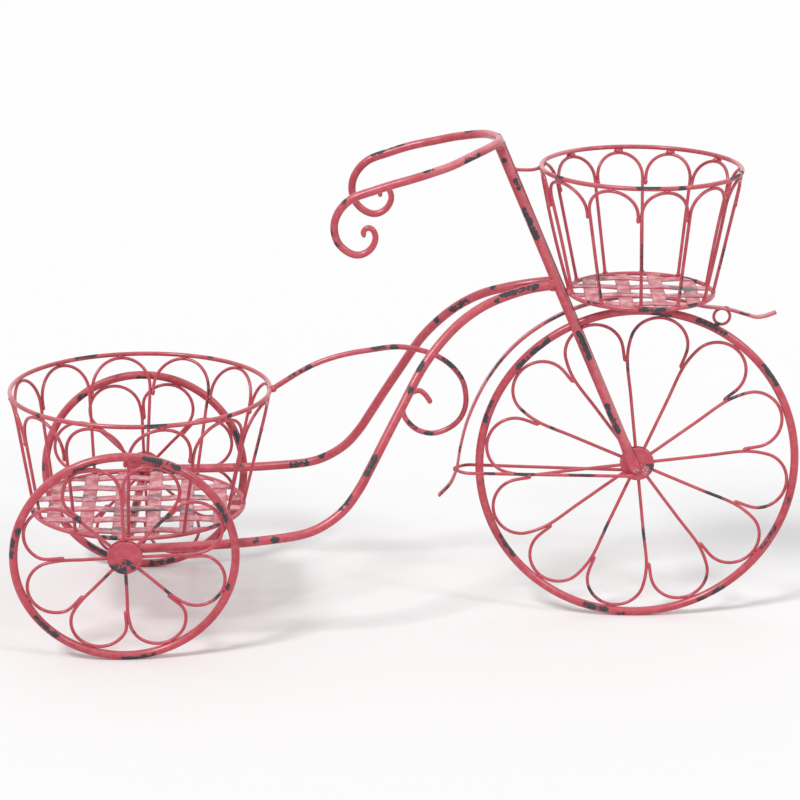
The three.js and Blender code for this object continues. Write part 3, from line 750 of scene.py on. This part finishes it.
bar_wear = [
    ([(0.120, 0.007), (0.144, 0.011), (0.199, 0.007)], [(-0.0042, -0.003, 0)], 0.0060),
    ([(0.335, 0.014), (0.612, 0.019), (0.744, 0.018), (0.777, 0.021)], [(0, -0.0018, 0.0052)], 0.0054),
    ([(0.415, 0.024)], [(0, -0.0045, -0.0012)], 0.0054),
    ([(0.24, 0.016), (0.40, 0.010), (0.52, 0.012), (0.68, 0.026), (0.84, 0.010)],
     [(0.001, 0.0045, 0.002)], 0.0058),
]
# Pale patches round the head of the bar, partly painted highlight along its upper side.
bar_pale_and_highlight_spots = [(0.36, 0.030), (0.40, 0.030), (0.455, 0.030), (0.50, 0.034), (0.55, 0.034)]
bar_pale_and_highlight_strength = 0.95


def bar_stations(side, back, rise):
    head = leg_point(1, fork_top).x
    drop = bar_fall - rise
    reach = [Vector((head - along * bar_reach, middle_y + side * out * bar_spread,
                     bar_head - fall * drop)) for along, out, fall in bar_arm]
    grip = [Vector((head - back + forward * curl_radius, middle_y + side * bar_spread,
                    bar_head - drop + up * curl_radius)) for forward, up in curl]
    return [point for point in reach if (point - grip[0]).length > bar_tube] + grip


def draw_down(mesh, points):
    """Thins the bar towards its ends: to one share round the curls and a smaller one at the tips."""
    for vertex in mesh.vertices:
        distances = [(point - vertex.co).length_squared for point in points]
        nearest = distances.index(min(distances))
        left = min(nearest, len(points) - 1 - nearest)
        thinned = tip_share + (curl_share - tip_share) * min(left / tip_steps, 1)
        thinned += (1 - curl_share) * min(max((left - tip_steps) / (curl_steps - tip_steps), 0), 1)
        vertex.co = points[nearest] + (vertex.co - points[nearest]) * thinned


near_half = bar_stations(-1, near_curl_back, 0)[:0:-1]
bar_line = smooth_path(near_half + bar_stations(1, far_curl_back, far_curl_rise), bar_steps)
handlebar = bent_wires([bar_line], bar_tube, roundness=7)
draw_down(handlebar, bar_line)
add_welds(handlebar, [
    (leg_point(side, fork_top - bar_weld_drop)
     + Vector((bar_weld_drop, side * bar_weld_aside, -bar_weld_drop)), bar_weld) for side in (-1, 1)])
mark_along(handlebar, "wear", bar_line, bar_wear)
# Pale patches on the head, partly painted highlight, strongest where the bar faces up.
mark(handlebar, "pale_and_highlight", [(bar_line[round(share * bar_steps)], reach)
                         for share, reach in bar_pale_and_highlight_spots], bar_pale_and_highlight_strength)
finish("handlebar_tube", handlebar, tube_paint, "tube_paint", "handlebar")


# Side rails: two tubes from the axle that run level, swing up and in together, and are welded to the
# backs of the fork legs.
rail_tube = 0.011
rail_inset = 0.017
rail_lift = 0.0035
rail_joint_rise = 0.0109
rail_steps = 380
rail_top_weld = (0.004, 0.005, 0.0035)
rail_top_rises = (-0.0045, 0.0045)
rail_foot_weld = (0.0045, 0.006, 0.005)
rail_foot_asides = (-0.003, 0.004)
rail_foot_drop = 0.001
rail_seen_sides = [(0, -0.0045, 0.0035), (0, -0.0055, 0.0005), (-0.002, -0.003, 0.005)]
rail_hidden_sides = [(0, 0.0050, 0.0018), (0.002, 0.0045, -0.001)]
rail_seen_reach = 0.0068
rail_hidden_reach = 0.0064
half_track = (far_centre.y - near_centre.y) / 2
rail_line = [
    (0, 1, 0), (0.18, 0.969, 0.011), (0.318, 0.937, 0.028), (0.417, 0.9, 0.054), (0.461, 0.872, 0.088),
    (0.503, 0.832, 0.145), (0.536, 0.78, 0.221), (0.566, 0.714, 0.315), (0.596, 0.636, 0.414),
    (0.636, 0.526, 0.542), (0.685, 0.388, 0.694), (0.731, 0.288, 0.794), (0.775, 0.21, 0.865),
    (0.825, 0.139, 0.92), (0.874, 0.079, 0.953), (0.934, 0.025, 0.981), (1, 0, 0.998),
]


def make_rail(name, side, patches):
    start = Vector((axle.x, middle_y + side * (half_track - rail_inset), axle.z + rail_lift))
    end = leg_point(side, front_floor.z + rail_joint_rise)
    stations = [Vector((start.x + (end.x - start.x) * along, end.y + (start.y - end.y) * out,
                        start.z + (end.z - start.z) * up)) for along, out, up in rail_line]
    points = smooth_path(stations, rail_steps)
    mesh = bent_wires([points], rail_tube)
    back = (points[-3] - points[-1]).normalized() * rail_tube / 2
    add_welds(mesh, [(end + back + Vector((0, 0, rise)), rail_top_weld) for rise in rail_top_rises]
              + [(start + Vector((aside, 0, -rail_foot_drop)), rail_foot_weld)
                 for aside in rail_foot_asides])
    mark_along(mesh, "wear", points, [(patches, rail_seen_sides, rail_seen_reach),
                                      (turned_about(patches), rail_hidden_sides, rail_hidden_reach)])
    finish(f"{name}_tube", mesh, tube_paint, "tube_paint", name)


make_rail("near_side_rail", -1, [(0.232, 0.010), (0.266, 0.009), (0.416, 0.023), (0.494, 0.028),
                                 (0.651, 0.009), (0.695, 0.018), (0.929, 0.048), (0.885, 0.007)])
make_rail("far_side_rail", 1, [(0.185, 0.012), (0.302, 0.026), (0.350, 0.009), (0.746, 0.010),
                               (0.806, 0.030), (0.881, 0.007)])


# Basket hoops: a rim and a floor ring of thick wire for each basket, rolled round and welded shut. The
# rear floor ring lies across the axle and the front one rests against the fork.
hoop_wire = 0.0054
hoop_steps = 320
hoop_patch_sides = [(0, -0.001, 0.0022), (0, -0.0022, 0)]
hoop_patch_reach = 0.0054


def hoop_radius(node):
    low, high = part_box(node)
    return (high.x - low.x) / 2 - hoop_wire / 2


def make_hoop(node, worn, pale_and_highlight_spots):
    centre = box_middle(node)
    radius = hoop_radius(node)
    points = [centre + Vector((cos(turn), sin(turn), 0)) * radius for turn in full_turn(hoop_steps)]
    mesh = bent_wires([points], hoop_wire, closed=True, roundness=6)
    patches = [(angle / 360, length) for angle, length in worn]
    mark_along(mesh, "wear", points, [(patches, hoop_patch_sides, hoop_patch_reach)], closed=True)
    # Pale spots on the wire, partly painted highlight, strongest where it faces up.
    mark(mesh, "pale_and_highlight", [(points[angle * hoop_steps // 360], reach) for angle, reach in pale_and_highlight_spots])
    finish(f"{node}_wire", mesh, tube_paint, "tube_paint", node)


make_hoop("rear_basket_rim", [(120, 0.034), (225, 0.009), (281, 0.032), (317, 0.009), (60, 0.008)],
          [(180, 0.05), (0, 0.05)])
make_hoop("rear_basket_floor_ring", [(200, 0.02), (260, 0.02), (320, 0.02), (80, 0.03)], [(270, 0.06)])
make_hoop("front_basket_rim", [(270, 0.028), (288, 0.008), (332, 0.030), (346, 0.012), (212, 0.014)],
          [(180, 0.05), (0, 0.045), (140, 0.04)])
make_hoop("front_basket_floor_ring", [(225, 0.016), (275, 0.034), (310, 0.016), (40, 0.02)],
          [(180, 0.05)])


# Canes: each basket has twelve wires that stand on the floor ring, arch over under the rim and end
# beside the next one. Drops of weld hold foot, crown and tip.
cane_wire = 0.004
cane_count = 12
cane_stand = (0, 0.25, 0.5, 0.75, 0.93)
cane_arch_steps = 12
cane_steps = 90
cane_foot_weld = (0.0031, 0.0031, 0.0022)
cane_foot_lift = 0.0006
cane_crown_weld = (0.0034, 0.0034, 0.0021)
cane_tip_weld = (0.0025, 0.0025, 0.0040)
cane_tip_share = 0.35
cane_patch_reach = 0.0036
cane_wear_strength = 1.1
first_rear_cane = 29
half_pitch = 15
posts_behind = 0.3
post_weld_share = 0.7
baskets = {
    "front_basket": {
        "angles": (18.5, 53, 84, 115, 148.5, 179.5, 195, 232.5, 265, 295, 325, 351), "nub": 0.008,
        "wear": {0: (0.56, 0.014), 7: (0.12, 0.040), 8: (0.30, 0.036), 9: (0.12, 0.030),
                 11: (0.22, 0.034)},
        "post": 0.0024, "bow": {0: -0.0018, 5: 0.0021, 6: -0.0012, 10: 0.0010}},
    "rear_basket": {
        "angles": [first_rear_cane + 2 * half_pitch * cane for cane in range(cane_count)], "nub": 0.007,
        "wear": {1: (0.43, 0.034), 6: (0.10, 0.014), 11: (0.34, 0.034)}, "post": 0, "bow": {}},
}


def crown_post(label, cane):
    """How far an arch hangs below the rim: on the far side some are held by short posts of weld."""
    crown_angle = radians(baskets[label]["angles"][cane] + half_pitch)
    return baskets[label]["post"] if sin(crown_angle) > posts_behind else 0


def cane_points(label, cane):
    angles = baskets[label]["angles"]
    floor, rim = box_middle(f"{label}_floor_ring"), box_middle(f"{label}_rim")
    floor_radius, rim_radius = hoop_radius(f"{label}_floor_ring"), hoop_radius(f"{label}_rim")
    first = radians(angles[cane])
    pitch = (radians(angles[(cane + 1) % cane_count]) - first) % (2 * pi)
    crown = rim.z - hoop_wire / 2 - cane_wire / 2 - crown_post(label, cane)
    foot = floor.z + hoop_wire / 2
    bow = baskets[label]["bow"].get(cane, 0)

    def at(turn, height):
        rise = (height - foot) / (crown - foot)
        radius = floor_radius + (rim_radius - floor_radius) * rise + bow * sin(pi * rise)
        middle = floor.x + (rim.x - floor.x) * rise
        return Vector((middle + radius * cos(turn), middle_y + radius * sin(turn), height))

    arch = rim_radius * pi / cane_count - cane_wire / 2
    spring = crown - arch
    spring_share = (spring - foot) / (crown - foot)
    span = pitch - cane_wire / (floor_radius + (rim_radius - floor_radius) * spring_share)
    stations = [at(first, foot + (spring - foot) * share) for share in cane_stand]
    for step in range(cane_arch_steps + 1):
        turn = pi * step / cane_arch_steps
        stations.append(at(first + span * (1 - cos(turn)) / 2, spring + arch * sin(turn)))
    stations.append(at(first + span, spring - baskets[label]["nub"]))
    return stations


def make_cane(label, cane):
    stations = cane_points(label, cane)
    points = smooth_path(stations, cane_steps)
    mesh = bent_wires([points], cane_wire, roundness=5)
    crown = stations[len(cane_stand) + cane_arch_steps // 2] + Vector((0, 0, cane_wire / 2))
    post = crown_post(label, cane)
    wide, deep, high = cane_crown_weld
    add_welds(mesh, [(stations[0] + Vector((0, 0, cane_foot_lift)), cane_foot_weld),
                     (crown, (wide + post, deep, high + post * post_weld_share)),
                     (stations[-1].lerp(stations[-2], cane_tip_share), cane_tip_weld)])
    patches = [baskets[label]["wear"][cane]] if cane in baskets[label]["wear"] else []
    side = (cane_wire / 4, -cane_wire / 2, 0)
    mark_along(mesh, "wear", points, [(patches, [side], cane_patch_reach)], cane_wear_strength)
    number = f"{cane + 1:02d}"
    finish(f"{label}_cane_{number}_wire", mesh, wire_paint, "wire_paint", f"{label}_cane_{number}")


for label in baskets:
    for cane in range(cane_count):
        make_cane(label, cane)


# Woven floors: thin rolled slats go over and under each other and are welded inside the floor ring. The
# paint on them is thin and pink and rubbed to grey where pots have stood; painted shade darkens their
# edges.
slat_width = 0.0165
slat_thickness = 0.0015
slat_sag = 0.00065
slat_ease = 0.22
slat_ease_steps = 3
slat_steps = 120
slat_rows = 8
slat_end = 0.0004
# Painted shade along the slats' edges: the share of the width that it covers.
slat_edge_shade_share = 0.25
slat_sharp = radians(45)
slat_blotch_scale = 70
deep_levels = (0.42, 0.32)
deep_share = 0.6
pale_levels = (0.42, 0.60)
pale_share = 0.85
edge_shade_share = 0.75
rub_stretch = 0.30
rub_scale = 95
broad_rub_scale = 26
broad_rub_share = 0.9
rub_levels = (1.055, 1.09)
speckle_scale = 520
speckle_levels = (0.34, 0.48)
slat_grain_scale = 300
slat_dullness = 0.52
rub_gloss = 0.12
rub_metal = 0.4
slat_relief = {"strength": 0.5, "depth": 0.0002}
slat_pink = (0.58, 0.165, 0.20, 1)
slat_pale = (0.77, 0.43, 0.455, 1)
slat_deep_and_edge_shade = (0.42, 0.060, 0.085, 1)
rubbed_grey = (0.115, 0.123, 0.130, 1)
weaves = {
    "front_basket": {"count": 4, "pitch_share": 0.461, "turn": radians(-2), "phase": 0},
    "rear_basket": {"count": 6, "pitch_share": 0.31, "turn": radians(2.5), "phase": 1},
}


def rubbed_steel():
    """Pink paint, blotched pale and deep, with painted shade along the slats' edges and grey rubs along
    the planter.
    """
    material, tree, steel = new_material("slat_paint")
    stretch = tree.nodes.new("ShaderNodeMapping")
    stretch.inputs["Scale"].default_value = (rub_stretch, 1, 1)
    tree.links.new(tree.nodes.new("ShaderNodeTexCoord").outputs["Object"], stretch.inputs["Vector"])
    stretched = stretch.outputs["Vector"]
    drawn_out = noise_texture(tree, rub_scale, detail=6.0, roughness=0.68, place=stretched)
    broad = noise_texture(tree, broad_rub_scale, detail=2.0)
    speckle = noise_texture(tree, speckle_scale, detail=3.0, roughness=0.7)
    blotch = noise_texture(tree, slat_blotch_scale, detail=5.0, roughness=0.62)
    rubbed = plus(tree, drawn_out, times(tree, broad, broad_rub_share))
    rubs = times(tree, ramp(tree, rubbed, *rub_levels), ramp(tree, speckle, *speckle_levels))
    deep = times(tree, ramp(tree, blotch, *deep_levels), deep_share)
    colour = blend_colours(tree, deep, slat_pink, slat_deep_and_edge_shade)
    pale = times(tree, ramp(tree, blotch, *pale_levels), pale_share)
    colour = blend_colours(tree, pale, colour, slat_pale)
    # Painted shade: both long edges of every slat are darkened.
    edges = times(tree, attribute(tree, "edge"), edge_shade_share)
    colour = blend_colours(tree, edges, colour, slat_deep_and_edge_shade)
    tree.links.new(blend_colours(tree, rubs, colour, rubbed_grey), steel["Base Color"])
    tree.links.new(minus(tree, slat_dullness, times(tree, rubs, rub_gloss)), steel["Roughness"])
    tree.links.new(times(tree, rubs, rub_metal), steel["Metallic"])
    add_relief(tree, steel, noise_texture(tree, slat_grain_scale, detail=4.0), **slat_relief)
    return material


slat_paint = rubbed_steel()


def add_slat(model, place, heights, reach, transform):
    """One slat: a wavy ribbon, cut to the ring's curve at both ends and given its thickness later."""
    grid = bmesh.ops.create_grid(model, x_segments=slat_steps, y_segments=slat_rows, size=1.0)["verts"]
    edge = model.verts.layers.float["edge"]
    for vertex in grid:
        # The edge attribute is painted shade: it rises to 1 at both long edges of the slat.
        vertex[edge] = max((abs(vertex.co.y) - 1) / slat_edge_shade_share + 1, 0)
        across = place + vertex.co.y * slat_width / 2
        limit = sqrt(max(reach ** 2 - across ** 2, 0))
        along = vertex.co.x * limit
        vertex.co = transform @ Vector((along, across, heights(along)))


def weave_height(label, order, crossways, pitch):
    """The height of a slat's middle at each place along it, as it goes over and under the others."""
    weave = weaves[label]
    half = (weave["count"] - 1) / 2

    def height(along):
        column = along / pitch + half
        if not -0.5 < column < weave["count"] - 0.5:
            return -slat_sag
        over = (order + round(column) + weave["phase"]) % 2 == int(crossways)
        return slat_sag if over else -slat_sag

    def eased(along):
        samples = [height(along + pitch * slat_ease * step / slat_ease_steps)
                   for step in range(-slat_ease_steps, slat_ease_steps + 1)]
        return sum(samples) / len(samples)

    return eased


def make_floor(label):
    weave = weaves[label]
    ring = box_middle(f"{label}_floor_ring")
    radius = hoop_radius(f"{label}_floor_ring")
    pitch = radius * weave["pitch_share"]
    reach = radius - hoop_wire / 2 + slat_end
    model = bmesh.new()
    model.verts.layers.float.new("edge")
    for crossways in (False, True):
        for row in range(weave["count"]):
            place = (row - (weave["count"] - 1) / 2) * pitch
            order = weave["count"] - 1 - row if crossways else row
            turn = weave["turn"] + (pi / 2 if crossways else 0)
            transform = Matrix.Translation(ring) @ Matrix.Rotation(turn, 4, "Z")
            add_slat(model, place, weave_height(label, order, crossways, pitch), reach, transform)
    bmesh.ops.recalc_face_normals(model, faces=model.faces)
    bmesh.ops.solidify(model, geom=model.faces, thickness=slat_thickness)
    bmesh.ops.translate(model, verts=model.verts, vec=(0, 0, slat_thickness / 2))
    mesh = mesh_from(model, "slats")
    finish(f"{label}_slats", mesh, slat_paint, "slat_paint", f"{label}_woven_floor")
    mesh.set_sharp_from_angle(angle=slat_sharp)


for label in weaves:
    make_floor(label)


# Basket arm: a short wire that ties the front basket's rim to the fork. It is kinked upwards where it
# meets the rim, and welded at both ends.
arm_wire = 0.004
arm_dip = 0.0012
arm_rise_length = 0.008
arm_steps = 40
arm_welds = [(0.0034, 0.0034, 0.0032), (0.0030, 0.0036, 0.0030)]
arm_wear_reach = 0.003
arm_low, arm_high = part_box("front_basket_arm")

arm_height = arm_low.z + arm_wire / 2 - arm_dip
arm_line = smooth_path([Vector((along, middle_y, up)) for along, up in (
    (arm_low.x, arm_height), (arm_high.x - arm_rise_length, arm_height),
    (arm_high.x + arm_wire / 4, arm_height + arm_dip * 2))], arm_steps)
arm = bent_wires([arm_line], arm_wire, roundness=5)
add_welds(arm, zip((arm_line[0], arm_line[-1]), arm_welds))
mark(arm, "wear", [(arm_line[2], arm_wear_reach)])
finish("front_basket_arm_wire", arm, wire_paint, "wire_paint", "front_basket_arm")


# Fender strip: flat bar rolled round over the back of the front wheel, under the front basket, and
# kicked up at its tail. It is welded to the ring and to the stay.
fender_thickness = 0.003
fender_width = 0.010
fender_steps = 200
fender_corner = 0.0007
fender_sharp = 1.2
fender_wear = [
    ([(0.02, 0.016), (0.12, 0.012), (0.33, 0.040), (0.5, 0.030), (0.74, 0.024), (0.93, 0.010)],
     [(0, -fender_width / 2, 0)], 0.0060)]
# Pale patches along the strip, partly painted highlight, strongest where it faces up.
fender_pale_and_highlight_strength = 1.0
fender_pale_and_highlight_spots = [(0.1, 0.05), (0.2, 0.05), (0.3, 0.05), (0.87, 0.024), (0.96, 0.024)]
ring_angle = radians(62.6)
ring_radius = 0.0114
fender_back = [
    (189.4, 1.159), (186.3, 1.087), (184, 1.062), (181.3, 1.044), (175, 1.031), (165, 1.02),
    (150, 1.012), (135, 1.011), (120, 1.006), (105, 1.002), (90, 1), (79, 1.001), (70, 1.006),
]
fender_tail = [(56, 1.079), (53.6, 1.097), (52, 1.13), (50.5, 1.182)]
floor_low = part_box("front_basket_woven_floor")[0].z
fender_radius = floor_low - gap - fender_thickness / 2 - front_hub.z
ring_centre = front_radius + gap + ring_radius
ring_seat = ring_centre + ring_radius + gap * 3 + fender_thickness / 2


def fender_point(turn, reach):
    return front_hub + Vector((cos(turn), 0, sin(turn))) * reach


def fender_run(bends):
    return [fender_point(radians(angle), share * fender_radius) for angle, share in bends]


fender_line = smooth_path([*fender_run(fender_back), fender_point(ring_angle, ring_seat),
                           *fender_run(fender_tail)], fender_steps)
sheet = bmesh.new()
for vertex in bmesh.ops.create_grid(sheet, x_segments=fender_steps, y_segments=1, size=1.0)["verts"]:
    step = round((vertex.co.x + 1) * fender_steps / 2)
    along = (fender_line[min(step + 1, fender_steps)] - fender_line[max(step - 1, 0)]).normalized()
    inward = Vector((along.z, 0, -along.x)) * fender_thickness / 2
    vertex.co = fender_line[step] + inward + Vector((0, vertex.co.y * fender_width / 2, 0))
bmesh.ops.recalc_face_normals(sheet, faces=sheet.faces)
bmesh.ops.solidify(sheet, geom=sheet.faces, thickness=fender_thickness)
bmesh.ops.recalc_face_normals(sheet, faces=sheet.faces)
corners = [edge for edge in sheet.edges
           if len(edge.link_faces) == 2 and edge.calc_face_angle() > fender_sharp]
bmesh.ops.bevel(sheet, geom=corners, offset=fender_corner, offset_type="OFFSET", segments=3,
                profile=0.5, affect="EDGES", material=-1)
strip = mesh_from(sheet, "strip")
mark_along(strip, "wear", fender_line, fender_wear)
mark(strip, "pale_and_highlight", [(fender_line[round(share * fender_steps)], reach)
                     for share, reach in fender_pale_and_highlight_spots], fender_pale_and_highlight_strength)
finish("fender_bar", strip, tube_paint, "tube_paint", "fender_strip")


# Fender ring: a short wire bent round and closed by a weld. It stands between the front wheel's rim and
# the strip, and a drop of weld holds it to each.
ring_wire = 0.0036
ring_steps = 64
ring_weld = (0.0034, 0.0030, 0.0026)
ring_wear_reach = 0.008

ring_middle = fender_point(ring_angle, ring_centre)
ring_outward = (ring_middle - front_hub).normalized()
ring = bent_wires([[ring_middle + Vector((cos(turn), 0, sin(turn))) * (ring_radius - ring_wire / 2)
                    for turn in full_turn(ring_steps)]], ring_wire, closed=True, roundness=6)
add_welds(ring, [(ring_middle + ring_outward * side * ring_radius, ring_weld) for side in (-1, 1)])
mark(ring, "wear", [(ring_middle - ring_outward * ring_radius, ring_wear_reach)])
finish("fender_ring_wire", ring, wire_paint, "wire_paint", "fender_ring")


# Fender stay: one wire bent round behind the front wheel, welded inside the strip, whose two ends lie on
# the pressed ends of the fork legs.
stay_wire = 0.004
stay_half_gap = 0.017
stay_bend_steps = 24
stay_steps = 70
stay_back_weld = (0.0030, 0.0052, 0.0034)
stay_end_weld = (0.0046, 0.0024, 0.0032)
stay_wear = [([(0.10, 0.014), (0.315, 0.026), (0.685, 0.036)],
              [(0, -stay_wire / 2, stay_wire / 3)], 0.0045)]
stay_wear_strength = 1.25
stay_end_inset = 0.001
stay_end_weld_back = 0.002
stay_low, stay_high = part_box("fender_stay")

stay_bend = Vector((stay_low.x + stay_wire / 2 + stay_half_gap, middle_y, stay_high.z - stay_wire / 2))
stay_aside = rim_tube / 2 + gap + leg_end_thickness + stay_wire / 2
stay_ends = [Vector((stay_high.x - stay_end_inset, middle_y + side * stay_aside,
                     stay_low.z + stay_wire / 2)) for side in (-1, 1)]
stay_arc = [stay_bend - Vector((sin(turn), cos(turn), 0)) * stay_half_gap
            for turn in (pi * step / stay_bend_steps for step in range(stay_bend_steps + 1))]
near_run = straight(stay_ends[0], stay_arc[0], stay_steps)[:-1]
far_run = straight(stay_arc[-1], stay_ends[1], stay_steps)[1:]
stay = bent_wires([near_run + stay_arc + far_run], stay_wire, roundness=5)
add_welds(stay, [(Vector((stay_low.x, middle_y, stay_bend.z)), stay_back_weld),
                 *((end - Vector((stay_end_weld_back, 0, 0)), stay_end_weld) for end in stay_ends)])
mark_along(stay, "wear", near_run[::-1], stay_wear, stay_wear_strength)
finish("fender_stay_wire", stay, wire_paint, "wire_paint", "fender_stay")


# Scroll brace: a tube that rises from the rear basket's rim, arches forward, touches the fender strip
# and curls back on itself.
scroll_tube = 0.0065
scroll_line = [
    (0, 0), (0.198, 0.123), (0.35, 0.18), (0.521, 0.213), (0.643, 0.228), (0.747, 0.214), (0.848, 0.18),
    (0.931, 0.119), (0.982, 0.045), (1, -0.04), (0.995, -0.1), (0.969, -0.158), (0.915, -0.207),
    (0.829, -0.236), (0.739, -0.211), (0.678, -0.134), (0.68, -0.069), (0.72, -0.018), (0.761, -0.007),
    (0.796, -0.036), (0.82, -0.075),
]
scroll_lift = 0.0008
scroll_steps = 300
scroll_weld = (0.0048, 0.0052, 0.0046)
scroll_patches = [(0.064, 0.008), (0.105, 0.016), (0.305, 0.018), (0.350, 0.010), (0.525, 0.036),
                  (0.770, 0.016), (0.819, 0.014)]
scroll_wear = [(scroll_patches, [(0, -0.0022, 0.0022), (0, -0.003, 0)], 0.0056),
               (turned_about(scroll_patches), [(0, 0.003, 0.001)], 0.0052)]
scroll_weld_forward = 0.001

rear_rim = box_middle("rear_basket_rim")
rear_rim_front = rear_rim.x + hoop_radius("rear_basket_rim") + hoop_wire / 2
scroll_start = Vector((rear_rim_front, middle_y, rear_rim.z + scroll_lift))
scroll_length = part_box("scroll_brace")[1].x - scroll_tube / 2 - scroll_start.x
scroll_path = smooth_path([scroll_start + Vector((forward, 0, up)) * scroll_length
                           for forward, up in scroll_line], scroll_steps)
scroll = bent_wires([scroll_path], scroll_tube)
add_welds(scroll, [(scroll_start + Vector((scroll_weld_forward, 0, 0)), scroll_weld)])
mark_along(scroll, "wear", scroll_path, scroll_wear)
finish("scroll_brace_tube", scroll, tube_paint, "tube_paint", "scroll_brace")


# Studio: a plain white floor and a white surround, lit by two wide suns and by the sky, which show the
# colours about as they are written. The floor keeps the planter's soft shadow.
floor_white = (0.92, 0.92, 0.92, 1)
floor_dullness = 0.9
floor_reach = 30
sky_light = 0.60
sky_shown = 1.0
suns = {
    "key": {"from": Vector((-0.75, -1.0, 1.35)), "strength": 1.65, "width": radians(12)},
    "fill": {"from": Vector((1.2, -1.0, 0.9)), "strength": 0.55, "width": radians(9)},
}

white, _, surface = new_material("floor_white")
surface["Base Color"].default_value = floor_white
surface["Roughness"].default_value = floor_dullness
surface["Specular IOR Level"].default_value = 0
ground = bmesh.new()
bmesh.ops.create_grid(ground, x_segments=1, y_segments=1, size=floor_reach)
floor = bpy.data.objects.new("floor", mesh_from(ground, "floor"))
floor.data.materials.append(white)
bpy.context.scene.collection.objects.link(floor)

world = bpy.data.worlds.new("studio")
world.use_nodes = True
sky = world.node_tree
path = sky.nodes.new("ShaderNodeLightPath").outputs
shown = compute(sky, "MAXIMUM", path["Is Camera Ray"], path["Is Glossy Ray"])
shown = compute(sky, "MAXIMUM", shown, path["Is Transmission Ray"])
light = sky.nodes["Background"].inputs
light["Color"].default_value = (1, 1, 1, 1)
sky.links.new(plus(sky, sky_light, times(sky, shown, sky_shown - sky_light)), light["Strength"])
bpy.context.scene.world = world

for name, setting in suns.items():
    lamp = bpy.data.lights.new(name, "SUN")
    lamp.energy = setting["strength"]
    lamp.angle = setting["width"]
    holder = bpy.data.objects.new(name, lamp)
    holder.rotation_euler = setting["from"].to_track_quat("Z", "Y").to_euler()
    bpy.context.scene.collection.objects.link(holder)
bpy.context.scene.view_settings.view_transform = "Standard"
